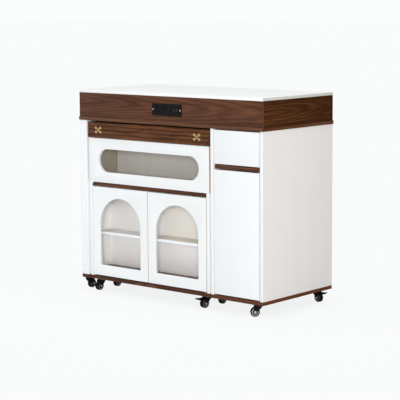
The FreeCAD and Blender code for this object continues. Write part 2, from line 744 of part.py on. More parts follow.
def make_cart_doors():
    """Two arched doors, each with a pane let into the back of its frame."""
    for side, x, pivot in (
            ("left", "cart_inner_left + door_gap", "pivot_inset"),
            ("right", "cart_inner_left + 2 * door_gap + cart_door_width",
             "cart_door_width - pivot_inset")):
        name = "cart_door_" + side
        body = new_body(name + "_body")
        sketch = sketch_on(body, "XZ_Plane", name + "_outline")
        rectangle(sketch, "0", "0", "cart_door_width", "cart_door_height")
        pad(body, sketch, name + "_pad", "board", backwards=True)
        middle = "cart_door_width / 2"
        sketch = sketch_on(body, "XZ_Plane", name + "_arch_outline")
        archway(sketch, middle, "arch_bottom_rail", "arch_spring", "arch_radius")
        pocket(body, sketch, name + "_arch")
        sketch = sketch_on(body, "XZ_Plane", name + "_rebate_outline", "-glass_lip")
        archway(sketch, middle, "arch_bottom_rail - glass_rebate", "arch_spring",
                "arch_radius + glass_rebate")
        pocket(body, sketch, name + "_rebate")
        pivot_holes(body, name, pivot, "cart_door_height")
        locate(body, x, "cart_front", "cart_door_under")
        keep(body, name)
        pane = new_body("cart_glass_%s_body" % side)
        sketch = sketch_on(pane, "XZ_Plane", "cart_glass_%s_outline" % side)
        archway(sketch, middle, "arch_bottom_rail - glass_rebate + glass_play",
                "arch_spring", "glass_radius")
        pad(pane, sketch, "cart_glass_%s_pad" % side, "glass_thick", backwards=True)
        locate(pane, x, "cart_front + glass_lip", "cart_door_under")
        keep(pane, "cart_glass_" + side)


def make_cabinet_door():
    """The plain door at the right, which turns on pins at its right edge."""
    body = plain_board_body(
        "cabinet_door_body", ("cabinet_front_left", "front", "cart_door_under"),
        ("cabinet_front_width", "board", "cabinet_door_height"))[0]
    pivot_holes(body, "cabinet_door", "cabinet_front_width - pivot_inset",
                "cabinet_door_height")
    keep(body, "cabinet_door")


def door_pivot(name, axis_x, axis_y, wall_x, hand, door_top):
    """A pin in the base, and a pin on a bracket that the side panel holds."""
    low = doc.addObject("Part::Cylinder", name + "_low_pin")
    bind(low, Radius="pivot_radius",
         Height="door_floor_gap + pivot_depth - pivot_play")
    locate(low, axis_x, axis_y, "base_top")
    high = doc.addObject("Part::Cylinder", name + "_high_pin")
    bind(high, Radius="pivot_radius",
         Height="pivot_depth - pivot_play + bracket_thick / 2")
    locate(high, axis_x, axis_y, "%s - pivot_depth + pivot_play" % door_top)
    reach = "pivot_inset + door_gap + pivot_radius + bracket_thick"
    start = wall_x if hand > 0 else "%s - (%s)" % (wall_x, reach)
    shelf = block(name + "_shelf", (start, "%s - pivot_setback + bracket_thick" % axis_y,
                                    "%s + bracket_thick / 2" % door_top),
                  (reach, "bracket_width / 2", "bracket_thick"))
    foot = wall_x if hand > 0 else "%s - bracket_thick" % wall_x
    flag = block(name + "_flag", (foot, "%s - pivot_setback + bracket_thick" % axis_y,
                                  "%s + bracket_thick / 2" % door_top),
                 ("bracket_thick", "bracket_width / 2", "bracket_rise"))
    bracket = doc.addObject("Part::MultiFuse", name + "_bracket")
    bracket.Shapes = [shelf, flag, high]
    return [low, bracket]


def make_door_pivots():
    """Pivot pins and brackets of the three doors."""
    axis_y = "cart_front + pivot_setback"
    left = door_pivot("cart_left_pivot", "cart_inner_left + door_gap + pivot_inset",
                      axis_y, "cart_inner_left", 1, "cart_door_top")
    right_wall = "cart_inner_left + cart_inner_width"
    right = door_pivot("cart_right_pivot", "%s - door_gap - pivot_inset" % right_wall,
                       axis_y, right_wall, -1, "cart_door_top")
    group("cart_door_pivots", left + right)
    wall = "cabinet_inner_left + cabinet_inner_width"
    group("cabinet_door_pivots",
          door_pivot("cabinet_pivot", "%s - door_gap - pivot_inset" % wall,
                     "front + pivot_setback", wall, -1, "cabinet_door_top"))


def make_power_outlet():
    """A black face with two sockets and two charging ports, and its housing."""
    body = new_body("outlet_body")
    sketch = sketch_on(body, "XZ_Plane", "outlet_face_outline")
    rectangle(sketch, "0", "0", "outlet_length", "outlet_height")
    pad(body, sketch, "outlet_face", "outlet_proud")
    sketch = sketch_on(body, "XZ_Plane", "outlet_housing_outline")
    rectangle(sketch, "housing_inset", "housing_inset / 2", "housing_length",
              "housing_height")
    pad(body, sketch, "outlet_housing", "housing_depth", backwards=True)
    middle = "outlet_height / 2"
    face = "outlet_proud"
    sockets = ["first_socket", "first_socket + socket_pitch"]
    sketch = sketch_on(body, "XZ_Plane", "socket_faces_outline", face)
    for x in sockets:
        rectangle(sketch, "%s - socket_side / 2" % x, "%s - socket_side / 2" % middle,
                  "socket_side", "socket_side")
    pocket(body, sketch, "socket_faces", "socket_sink")
    sketch = sketch_on(body, "XZ_Plane", "prongs_outline", face)
    for x in sockets:
        for shift in ("- prong_pitch / 2", "+ prong_pitch / 2"):
            rectangle(sketch, "%s %s - prong_width / 2" % (x, shift),
                      "%s + prong_rise - prong_height / 2" % middle,
                      "prong_width", "prong_height")
        rectangle(sketch, "%s - ground_width / 2" % x,
                  "%s - ground_drop - ground_width / 2" % middle,
                  "ground_width", "ground_width")
    pocket(body, sketch, "prongs", "prong_depth")
    ports = ["outlet_length / 2 + first_usb", "outlet_length / 2 + first_usb + usb_pitch"]
    sketch = sketch_on(body, "XZ_Plane", "ports_outline", face)
    for x in ports:
        rectangle(sketch, "%s - usb_height / 2" % x, "%s - usb_length / 2" % middle,
                  "usb_height", "usb_length")
    pocket(body, sketch, "ports", "usb_depth")
    sketch = sketch_on(body, "XZ_Plane", "tongues_outline")
    for x in ports:
        rectangle(sketch, "%s - tongue_height / 2" % x,
                  "%s - usb_length / 2 + prong_width" % middle,
                  "tongue_height", "usb_length - 2 * prong_width")
    pad(body, sketch, "tongues", "usb_depth", backwards=True)
    locate(body, "outlet_left", "front", "outlet_under")
    keep(body, "power_outlet")


# Each castor: its name, the swivel axis, the way it trails in degrees from +X,
# the unit that carries it, and whether it has a brake.
CASTERS = [
    ("leg_front", "leg_caster_x", "main_front_y", 90, "island", False),
    ("leg_rear", "leg_caster_x", "leg_rear_y", 90, "island", True),
    ("main_front", "main_caster_x", "main_front_y", 222, "island", False),
    ("main_rear", "main_rear_x", "main_rear_y", 350, "island", True),
    ("cart_front_left", "cart_left_x", "cart_front_y", 270, "cart", False),
    ("cart_rear_left", "cart_left_x", "cart_rear_y", 270, "cart", True),
    ("cart_front_right", "cart_right_x", "cart_front_y", 260, "cart", True),
    ("cart_rear_right", "cart_right_x", "cart_rear_y", 270, "cart", False),
]


def set_on_caster(thing, x, y, heading, ahead, across, height):
    """Turn a caster's piece to its heading and move it to its swivel."""
    turn = math.radians(heading)
    along = [math.cos(turn), math.sin(turn)]
    thing.Placement = Placement(Vector(), Rotation(UP, heading))
    locate(thing, "%s + (%s) * %.12f - (%s) * %.12f" % (x, ahead, along[0], across, along[1]),
           "%s + (%s) * %.12f + (%s) * %.12f" % (y, ahead, along[1], across, along[0]),
           height)


def make_wheel(name, x, y, heading):
    """A wheel turned in one piece about its bore."""
    body = new_body(name + "_wheel_body")
    sketch = sketch_on(body, "XY_Plane", name + "_wheel_outline")
    rectangle(sketch, "axle_bore", "0", "wheel_radius - axle_bore", "wheel_width")
    turned = body.newObject("PartDesign::Revolution", name + "_wheel_turned")
    turned.Profile = sketch
    turned.ReferenceAxis = (sketch, ["V_Axis"])
    turned.Angle = 360
    set_on_caster(body, x, y, heading, "wheel_trail", "-wheel_width / 2", "wheel_radius")
    keep(body, name + "_wheel")


def make_fork(name, x, y, heading):
    """A bent steel fork: crown, two cheeks narrowing to the axle, the axle."""
    body = new_body(name + "_fork_body")
    sketch = sketch_on(body, "XY_Plane", name + "_crown_outline", "fork_under")
    polygon(sketch, [("-fork_nose", "-cheek_outside"), ("fork_nose", "-cheek_outside"),
                     ("fork_nose", "cheek_outside"), ("-fork_nose", "cheek_outside")])
    pad(body, sketch, name + "_crown", "fork_sheet")
    sketch = sketch_on(body, "XZ_Plane", name + "_cheek_outline")
    boss = [("wheel_trail - wide_share * fork_boss", "wheel_radius - slim_share * fork_boss"),
            ("wheel_trail - small_share * fork_boss", "wheel_radius - fork_boss"),
            ("wheel_trail + slim_share * fork_boss", "wheel_radius - wide_share * fork_boss"),
            ("wheel_trail + fork_boss", "wheel_radius"),
            ("wheel_trail + wide_share * fork_boss", "wheel_radius + slim_share * fork_boss")]
    polygon(sketch, [("-fork_nose", "fork_top"), ("-fork_nose", "cheek_foot")] + boss
            + [("wheel_trail + fork_boss", "cheek_foot"),
               ("wheel_trail + fork_boss / 2", "fork_top")])
    pad(body, sketch, name + "_cheeks", "2 * cheek_outside", both=True)
    sketch = sketch_on(body, "XZ_Plane", name + "_throat_outline")
    rectangle(sketch, "-fork_nose - overrun", "wheel_radius - fork_boss - overrun",
              "fork_nose + wheel_trail + fork_boss + 2 * overrun",
              "fork_under - wheel_radius + fork_boss + overrun")
    throat = body.newObject("PartDesign::Pocket", name + "_throat")
    throat.Profile = sketch
    throat.Midplane = True
    bind(throat, Length="2 * cheek_inside")
    sketch = sketch_on(body, "XZ_Plane", name + "_axle_outline")
    circle(sketch, "wheel_trail", "wheel_radius", "axle_radius")
    pad(body, sketch, name + "_axle", "cheek_inside + cheek_outside", both=True)
    set_on_caster(body, x, y, heading, "0", "0", "0")
    keep(body, name + "_fork")


def make_pedal(name, x, y, heading):
    """A brake pedal that lies between the cheeks and ends in a turned-up pad."""
    body = new_body(name + "_pedal_body")
    sketch = sketch_on(body, "XZ_Plane", name + "_pedal_outline")
    half = "pedal_thick / 2"
    bend = "pedal_end - pedal_tip"
    polygon(sketch, [("-" + half, "-" + half), (bend, "-" + half),
                     ("pedal_end", "pedal_rise - " + half),
                     ("pedal_end", "pedal_rise + " + half),
                     (bend, half), ("-" + half, half)])
    pad(body, sketch, name + "_pedal_pad", "pedal_width", both=True)
    set_on_caster(body, x, y, heading, "pedal_heel", "0", "pedal_axis")
    keep(body, name + "_pedal")


def caster_plate(name, x, y):
    """A fixing plate with the bearing race that the fork turns under."""
    plate = block(name + "_plate", ("%s - plate_side / 2" % x, "%s - plate_side / 2" % y,
                                    "plate_under"),
                  ("plate_side", "plate_side", "plate_thick"))
    race = doc.addObject("Part::Cylinder", name + "_race")
    bind(race, Radius="race_radius", Height="race_thick")
    locate(race, x, y, "race_under")
    whole = doc.addObject("Part::MultiFuse", name + "_fixing")
    whole.Shapes = [plate, race]
    return whole


def make_casters():
    """Eight castors; their plates are grouped by the unit that carries them."""
    fixings = {"island": [], "cart": []}
    for name, x, y, heading, unit, braked in CASTERS:
        fixings[unit].append(caster_plate(name, x, y))
        make_fork(name, x, y, heading)
        make_wheel(name, x, y, heading)
        if braked:
            make_pedal(name, x, y, heading)
    for unit, plates in fixings.items():
        group(unit + "_caster_plates", plates)


def write_parts():
    """Check every object, then write each sub-part to its own file."""
    doc.recompute()
    faults = [item.Name for item in doc.Objects
              if "Invalid" in item.State or "Error" in item.State]
    if faults:
        raise RuntimeError("objects that failed: " + ", ".join(faults))
    for item in nodes:
        if item.Shape.isNull() or not item.Shape.isValid() or not item.Shape.Solids:
            raise RuntimeError("no valid solid in " + item.Label)
    os.makedirs("parts", exist_ok=True)
    for item in nodes:
        item.Shape.exportStep("parts/%s.step" % item.Label)
    print("%d sub-parts written" % len(nodes))


make_worktop()
make_apron()
make_leg()
make_cabinet()
make_bay_rails()
make_leaf()
make_leaf_hinges()
make_cart_carcass()
make_window_front()
make_drawers()
make_cart_doors()
make_cabinet_door()
make_door_pivots()
make_power_outlet()
make_casters()
write_parts()
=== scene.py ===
"""The finished look of a kitchen island table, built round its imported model."""

import logging
import math
from dataclasses import dataclass
from enum import Enum
from typing import Callable, Sequence

import bpy
from mathutils import Matrix, Vector


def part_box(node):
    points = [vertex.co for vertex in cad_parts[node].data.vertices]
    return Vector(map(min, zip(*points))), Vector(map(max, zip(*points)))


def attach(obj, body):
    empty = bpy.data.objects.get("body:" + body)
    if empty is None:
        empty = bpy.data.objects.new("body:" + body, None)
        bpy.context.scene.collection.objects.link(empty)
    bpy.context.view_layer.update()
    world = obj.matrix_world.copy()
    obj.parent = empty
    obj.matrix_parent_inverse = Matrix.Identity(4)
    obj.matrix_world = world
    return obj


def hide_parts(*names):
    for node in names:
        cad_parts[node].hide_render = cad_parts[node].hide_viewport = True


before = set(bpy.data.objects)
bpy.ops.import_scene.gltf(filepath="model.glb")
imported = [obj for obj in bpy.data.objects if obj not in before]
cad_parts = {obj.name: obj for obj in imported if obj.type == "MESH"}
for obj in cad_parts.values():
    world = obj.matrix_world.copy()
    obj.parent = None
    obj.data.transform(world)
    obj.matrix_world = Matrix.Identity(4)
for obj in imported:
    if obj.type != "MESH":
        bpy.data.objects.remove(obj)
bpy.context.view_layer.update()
LOG = logging.getLogger("kitchen_island")
Pair = tuple[float, float]
Triple = tuple[float, float, float]
Test = Callable[[Vector, Vector], bool]
Piece = bpy.types.Object
Socket = bpy.types.NodeSocket

# Points nearer than this are one point, and the inset that gives a moved face
# its wall, in metres.
TOUCH = 0.000002
HAIR = 0.00001


# Hand tools


def take(piece: Piece) -> None:
    """Selects one object and makes it the active one, with all else deselected."""
    bpy.ops.object.select_all(action="DESELECT")
    piece.select_set(True)
    bpy.context.view_layer.objects.active = piece


def settle(piece: Piece) -> Piece:
    """Puts the object at the origin, unturned and unscaled, its place in its mesh."""
    take(piece)
    bpy.ops.object.transform_apply(location=True, rotation=True, scale=True)
    return piece


def add_block(name: str, low: Sequence[float], high: Sequence[float]) -> Piece:
    """Adds a block between two corners.

    Args:
        name: The object's name.
        low: Its lowest corner, in metres.
        high: Its highest corner, in metres.

    Returns:
        The settled block.
    """
    bpy.ops.object.select_all(action="DESELECT")
    middle = [(a + b) / 2 for a, b in zip(low, high)]
    size = [b - a for a, b in zip(low, high)]
    bpy.ops.mesh.primitive_cube_add(size=1, location=middle, scale=size)
    bpy.context.object.name = name
    return settle(bpy.context.object)


def add_round(name: str, start: Sequence[float], end: Sequence[float], radius: float,
              sides: int = 32, end_radius: float | None = None) -> Piece:
    """Adds a round bar or a tapered one from one point to another.

    Args:
        name: The object's name.
        start: The middle of its first end.
        end: The middle of its last end.
        radius: The radius at the start.
        sides: The number of facets round it.
        end_radius: The radius at the end, or None for the same one.

    Returns:
        The settled bar.
    """
    bpy.ops.object.select_all(action="DESELECT")
    first, last = Vector(start), Vector(end)
    along = last - first
    turn = Vector((0, 0, 1)).rotation_difference(along.normalized()).to_euler()
    bpy.ops.mesh.primitive_cone_add(
        vertices=sides, radius1=radius, radius2=radius if end_radius is None else end_radius,
        depth=along.length, location=(first + last) / 2, rotation=turn)
    bpy.context.object.name = name
    return settle(bpy.context.object)


def enter(piece: Piece, kind: str = "FACE") -> None:
    """Opens a piece in edit mode, set to pick faces or points."""
    take(piece)
    bpy.ops.object.mode_set(mode="EDIT")
    bpy.ops.mesh.select_mode(type=kind)


def leave() -> None:
    """Goes back to object mode."""
    bpy.ops.object.mode_set(mode="OBJECT")


def work(piece: Piece, tool: Callable[..., set[str]], **values: object) -> None:
    """Runs one mesh tool on all of a piece."""
    enter(piece)
    bpy.ops.mesh.select_all(action="SELECT")
    tool(**values)
    leave()


def pick(piece: Piece, test: Test) -> None:
    """Enters edit mode with the faces selected whose middle and normal pass the test."""
    enter(piece)
    bpy.ops.mesh.select_all(action="DESELECT")
    leave()
    for face in piece.data.polygons:
        face.select = bool(test(face.center, face.normal))
    bpy.ops.object.mode_set(mode="EDIT")


def sink(piece: Piece, test: Test, rim: float, depth: float) -> None:
    """Insets the faces that pass the test and moves them in or out.

    Args:
        piece: The mesh to shape.
        test: Which faces to work.
        rim: The width of the rim left round them.
        depth: How far they go in; a negative depth raises them.
    """
    pick(piece, test)
    bpy.ops.mesh.inset(thickness=rim, depth=0)
    bpy.ops.mesh.inset(thickness=HAIR, depth=-depth)
    leave()


def swell(piece: Piece, test: Callable[[Vector], bool], scale: Triple,
          centre: Triple) -> None:
    """Scales the points that pass the test, about a centre that stays."""
    enter(piece, "VERT")
    bpy.ops.mesh.select_all(action="DESELECT")
    leave()
    for point in piece.data.vertices:
        point.select = bool(test(point.co))
    bpy.ops.object.mode_set(mode="EDIT")
    bpy.ops.transform.resize(value=scale, center_override=centre)
    leave()


def score(piece: Piece, place: Triple, normal: Triple) -> None:
    """Cuts all faces along a plane, so that each side can take its own finish."""
    work(piece, bpy.ops.mesh.bisect, plane_co=place, plane_no=normal)


def weld(piece: Piece) -> None:
    """Merges the points that lie together, as they do where two roundings meet."""
    work(piece, bpy.ops.mesh.remove_doubles, threshold=TOUCH)


def ease(piece: Piece, width: float, segments: int = 2,
         angle: float = 30, smooth: float = 35) -> Piece:
    """Rounds the sharp edges and smooths what is left.

    Args:
        piece: The mesh to ease.
        width: The width of the rounding.
        segments: The steps in it.
        angle: The least angle of an edge that is rounded, in degrees.
        smooth: The greatest angle that is shaded smooth, in degrees.

    Returns:
        The same piece.
    """
    take(piece)
    rounding = piece.modifiers.new("rounding", "BEVEL")
    rounding.width = width
    rounding.segments = segments
    rounding.limit_method = "ANGLE"
    rounding.angle_limit = math.radians(angle)
    rounding.use_clamp_overlap = True
    bpy.ops.object.modifier_apply(modifier=rounding.name)
    weld(piece)
    bpy.ops.object.shade_smooth_by_angle(angle=math.radians(smooth))
    return piece


def merged_copy(node: str, name: str) -> Piece:
    """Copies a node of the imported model, with its loose triangles merged into faces."""
    piece = bpy.data.objects.new(name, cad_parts[node].data.copy())
    piece.data.materials.clear()
    bpy.context.scene.collection.objects.link(piece)
    enter(piece)
    bpy.ops.mesh.select_all(action="SELECT")
    bpy.ops.mesh.remove_doubles(threshold=TOUCH)
    bpy.ops.mesh.dissolve_limited(angle_limit=math.radians(0.2))
    leave()
    if piece.data.has_custom_normals:
        bpy.ops.mesh.customdata_custom_splitnormals_clear()
    return piece


def spare(piece: Piece, name: str, move: Matrix) -> Piece:
    """Copies a finished piece with its own mesh and moves the copy's mesh."""
    take(piece)
    bpy.ops.object.duplicate(linked=False)
    copy = bpy.context.object
    copy.name = name
    copy.matrix_world = move
    return settle(copy)


def join(pieces: Sequence[Piece], name: str) -> Piece:
    """Joins several meshes into one object of that name."""
    take(pieces[0])
    for piece in pieces[1:]:
        piece.select_set(True)
    bpy.ops.object.join()
    pieces[0].name = name
    return pieces[0]


# Finishes


class Axis(Enum):
    """The way the grain runs."""

    X = 0
    Y = 1
    Z = 2


class Nodes:
    """A node tree while it is put together."""

    def __init__(self, tree: bpy.types.NodeTree) -> None:
        """Starts with an empty tree."""
        self.tree = tree
        tree.nodes.clear()

    def fill(self, node: bpy.types.Node, **values: float | Sequence[float]) -> bpy.types.Node:
        """Sets a node's inputs, underscores standing for spaces."""
        for name, value in values.items():
            node.inputs[name.replace("_", " ")].default_value = value
        return node

    def add(self, kind: str, **values: float | Sequence[float]) -> bpy.types.Node:
        """Adds a node with its inputs set."""
        return self.fill(self.tree.nodes.new("ShaderNode" + kind), **values)

    def join(self, source: Socket | float, target: Socket) -> None:
        """Links one socket to another, or sets the other to a number."""
        if isinstance(source, float):
            target.default_value = source
        else:
            self.tree.links.new(source, target)

    def reckon(self, kind: str, first: Socket, second: Socket | float) -> Socket:
        """Reckons one value from two, such as their product or the greater one."""
        node = self.add("Math")
        node.operation = kind
        self.join(first, node.inputs[0])
        self.join(second, node.inputs[1])
        return node.outputs[0]

    def share_out(self, factor: Socket, first: Socket, second: Socket,
                  output: bpy.types.Node) -> None:
        """Sends two surfaces to the output, mixed by the factor."""
        node = self.add("MixShader")
        self.join(factor, node.inputs["Fac"])
        self.join(first, node.inputs[1])
        self.join(second, node.inputs[2])
        self.join(node.outputs["Shader"], output.inputs["Surface"])


class Recipe(Nodes):
    """A node material while it is put together."""

    def __init__(self, name: str) -> None:
        """Starts an empty material with its output and its shader."""
        self.material = bpy.data.materials.new(name)
        self.material.use_nodes = True
        super().__init__(self.material.node_tree)
        self.output = self.add("OutputMaterial")
        self.shader = self.add("BsdfPrincipled")
        self.join(self.shader.outputs["BSDF"], self.output.inputs["Surface"])
        self.place = self.add("TexCoord").outputs["Object"]

    def stretch(self, scale: Triple, turn: Triple = (0, 0, 0),
                shift: Triple = (0, 0, 0)) -> Socket:
        """Maps the object's own coordinates.

        Args:
            scale: The scale on each axis.
            turn: The rotation, in degrees.
            shift: The move, in metres, before the scale.

        Returns:
            The mapped vector.
        """
        mapping = self.add("Mapping", Location=shift, Scale=[1 / v for v in scale],
                           Rotation=[math.radians(v) for v in turn])
        mapping.vector_type = "TEXTURE"
        self.join(self.place, mapping.inputs["Vector"])
        return mapping.outputs["Vector"]

    def noise(self, vector: Socket, scale: float, detail: float = 4,
              rough: float = 0.55, bend: float = 0) -> Socket:
        """Adds a noise and returns its factor."""
        node = self.add("TexNoise", Scale=scale, Detail=detail, Roughness=rough,
                        Distortion=bend)
        self.join(vector, node.inputs["Vector"])
        return node.outputs["Fac"]

    def ramp(self, factor: Socket,
             stops: Sequence[tuple[float, Triple]]) -> Socket:
        """Adds a colour ramp through the stops and returns its colour."""
        node = self.add("ValToRGB")
        elements = node.color_ramp.elements
        while len(elements) < len(stops):
            elements.new(0.5)
        for element, (place, colour) in zip(elements, stops):
            element.position = place
            element.color = (*colour, 1)
        self.join(factor, node.inputs["Fac"])
        return node.outputs["Color"]

    def span(self, factor: Socket, low: float, high: float,
             start: float = 0, end: float = 1) -> Socket:
        """Maps a factor from start..end to low..high."""
        node = self.add("MapRange", From_Min=start, From_Max=end, To_Min=low, To_Max=high)
        self.join(factor, node.inputs["Value"])
        return node.outputs["Result"]

    def blend(self, factor: Socket | float, first: Socket,
              second: Socket, kind: str = "MIX") -> Socket:
        """Mixes two colours and returns the result."""
        node = self.add("Mix")
        node.data_type = "RGBA"
        node.blend_type = kind
        self.join(factor, node.inputs["Factor"])
        colours = [s for s in node.inputs if s.type == "RGBA"]
        self.join(first, colours[0])
        self.join(second, colours[1])
        return next(s for s in node.outputs if s.type == "RGBA")

    def relief(self, height: Socket, strength: float, depth: float) -> None:
        """Gives the shader a bump from a height."""
        node = self.add("Bump", Strength=strength, Distance=depth)
        self.join(height, node.inputs["Height"])
        self.feed("Normal", node.outputs["Normal"])

    def set(self, **values: float | Sequence[float]) -> None:
        """Sets the shader's own inputs."""
        self.fill(self.shader, **values)

    def feed(self, socket: str, source: Socket) -> None:
        """Feeds one of the shader's sockets."""
        self.join(source, self.shader.inputs[socket])


@dataclass(frozen=True)
class Finish:
    """A finish by its name, and the way its material is mixed."""

    name: str

    def mix(self, recipe: Recipe) -> None:
        """Mixes the finish into an empty recipe."""
        raise NotImplementedError

    def material(self) -> bpy.types.Material:
        """Builds the material."""
        recipe = Recipe(self.name)
        self.mix(recipe)
        return recipe.material


@dataclass(frozen=True)
class Wood(Finish):
    """Veneer or solid wood with rings, fibres and pores that follow its grain."""

    dark: Triple
    middle: Triple
    light: Triple
    grain: Axis = Axis.X
    rings: float = 26
    ring_share: float = 0.45
    gloss: float = 0.42
    heart: Triple = (0, 0.1, 0.03)
    turn: Triple = (0, 0, 0)
    shine: float = 0.2
    wander: float = 5.5
    profile: str = "SAW"
    purple: Triple = (0.80, 0.73, 0.84)
    golden: Triple = (1.12, 1.11, 1.0)
    draw: float = 0.16

    def scale(self, across: float, along: float) -> Triple:
        """Gives a scale with a value of its own along the grain."""
        values = [across] * 3
        values[self.grain.value] = along
        return tuple(values)

    def mix(self, recipe: Recipe) -> None:
        """Mixes the wood."""
        rings = recipe.add("TexWave", Scale=self.rings, Distortion=self.wander, Detail=3,
                           Detail_Scale=1.1, Detail_Roughness=0.6)
        rings.wave_type = "RINGS"
        rings.rings_direction = self.grain.name
        rings.wave_profile = self.profile
        log = recipe.stretch(self.scale(1, self.draw), self.turn, self.heart)
        recipe.join(log, rings.inputs["Vector"])
        fibres = recipe.noise(recipe.stretch(self.scale(26, 1.6)), 1, 7, 0.62, 0.4)
        pores = recipe.noise(recipe.stretch(self.scale(420, 9)), 1, 3, 0.6)
        clouds = recipe.noise(recipe.stretch(self.scale(5, 0.9)), 1, 3, 0.5)
        tone = recipe.add("Mix", Factor=self.ring_share)
        recipe.join(fibres, tone.inputs["A"])
        recipe.join(rings.outputs["Fac"], tone.inputs["B"])
        ground = recipe.ramp(tone.outputs["Result"], [
            (0.18, self.dark), (0.5, self.middle), (0.82, self.light)])
        shade = recipe.ramp(clouds, [(0.32, self.purple), (0.66, self.golden)])
        toned = recipe.blend(1.0, ground, shade, "MULTIPLY")
        marks = recipe.ramp(pores, [(0.36, (0.55, 0.5, 0.48)), (0.47, (1, 1, 1))])
        recipe.feed("Base Color", recipe.blend(0.75, toned, marks, "MULTIPLY"))
        recipe.feed("Roughness", recipe.span(pores, self.gloss + 0.14, self.gloss, 0.3, 0.6))
        recipe.relief(pores, 0.25, 0.0002)
        recipe.set(Specular_IOR_Level=self.shine)


@dataclass(frozen=True)
class Paint(Finish):
    """Sprayed or foiled board: a fine orange peel, faint streaks, slight wear."""

    colour: Triple
    shade: Triple
    gloss: float = 0.38
    streak: Triple = (30, 30, 1.2)
    peel: float = 900

    def mix(self, recipe: Recipe) -> None:
        """Mixes the paint."""
        streaks = recipe.noise(recipe.stretch(self.streak), 1, 4, 0.6)
        recipe.feed("Base Color", recipe.ramp(streaks, [(0.3, self.shade), (0.62, self.colour)]))
        smears = recipe.noise(recipe.place, 7, 5, 0.6)
        recipe.feed("Roughness", recipe.span(smears, self.gloss - 0.05, self.gloss + 0.1, 0.3, 0.7))
        recipe.relief(recipe.noise(recipe.place, self.peel, 2, 0.5), 0.06, 0.0001)
        recipe.set(Specular_IOR_Level=0.4)


@dataclass(frozen=True)
class Slab(Finish):
    """Polished pale stone with specks and soft clouds."""

    colour: Triple
    cloud: Triple
    speck: Triple

    def mix(self, recipe: Recipe) -> None:
        """Mixes the stone."""
        clouds = recipe.noise(recipe.place, 5, 6, 0.6, 0.6)
        ground = recipe.ramp(clouds, [(0.3, self.cloud), (0.7, self.colour)])
        cells = recipe.add("TexVoronoi", Scale=420)
        recipe.join(recipe.place, cells.inputs["Vector"])
        specks = recipe.ramp(cells.outputs["Distance"], [(0.1, self.speck), (0.2, (1, 1, 1))])
        recipe.feed("Base Color", recipe.blend(0.3, ground, specks, "MULTIPLY"))
        recipe.feed("Roughness", recipe.span(cells.outputs["Distance"], 0.46, 0.5))
        recipe.relief(cells.outputs["Distance"], 0.02, 0.00002)
        recipe.set(Specular_IOR_Level=0.3)


@dataclass(frozen=True)
class Metal(Finish):
    """Metal with brushing, patina and slight wear."""

    bright: Triple
    dull: Triple
    gloss: float = 0.28
    brush: Triple = (900, 60, 900)

    def mix(self, recipe: Recipe) -> None:
        """Mixes the metal."""
        patina = recipe.noise(recipe.place, 160, 5, 0.65)
        recipe.feed("Base Color", recipe.ramp(patina, [(0.35, self.dull), (0.6, self.bright)]))
        brushing = recipe.noise(recipe.stretch(self.brush), 1, 2)
        recipe.feed("Roughness", recipe.span(brushing, self.gloss, self.gloss + 0.16, 0.3, 0.7))
        recipe.relief(brushing, 0.08, 0.00008)
        recipe.set(Metallic=1.0)


@dataclass(frozen=True)
class Moulded(Finish):
    """Moulded plastic or rubber with a fine spark texture."""

    colour: Triple
    pale: Triple
    gloss: float = 0.45
    grain: float = 1500
    depth: float = 0.0001
    shine: float = 0.15

    def mix(self, recipe: Recipe) -> None:
        """Mixes the plastic."""
        spark = recipe.noise(recipe.place, self.grain, 3, 0.6)
        wear = recipe.noise(recipe.place, 90, 5, 0.6)
        recipe.feed("Base Color", recipe.ramp(wear, [(0.35, self.colour), (0.75, self.pale)]))
        recipe.feed("Roughness", recipe.span(wear, self.gloss, self.gloss + 0.15, 0.3, 0.7))
        recipe.relief(spark, 0.3, self.depth)
        recipe.set(Specular_IOR_Level=self.shine)


@dataclass(frozen=True)
class Glass(Finish):
    """Clear float glass with a trace of waviness."""

    tint: Triple = (0.985, 1.0, 0.99)

    def mix(self, recipe: Recipe) -> None:
        """Mixes the glass."""
        waves = recipe.noise(recipe.place, 9, 2)
        recipe.feed("Base Color", recipe.ramp(waves, [(0.3, self.tint), (0.7, (1, 1, 1))]))
        recipe.feed("Roughness", recipe.span(waves, 0.0, 0.015))
        recipe.relief(waves, 0.004, 0.0002)
        recipe.set(Transmission_Weight=1.0, IOR=1.45, Alpha=0.05)


WALNUT = ((0.031, 0.0090, 0.0039), (0.0975, 0.0355, 0.0162), (0.175, 0.0735, 0.0358))
LEAF_WALNUT = ((0.026, 0.0068, 0.0020), (0.086, 0.0275, 0.0078), (0.152, 0.055, 0.0185))
END_WALNUT = ((0.016, 0.0046, 0.0013), (0.060, 0.0204, 0.0066), (0.160, 0.066, 0.0240))
BASE_WALNUT = ((0.050, 0.0165, 0.0065), (0.115, 0.043, 0.018), (0.165, 0.070, 0.032))
FINISHES: dict[str, bpy.types.Material] = {}


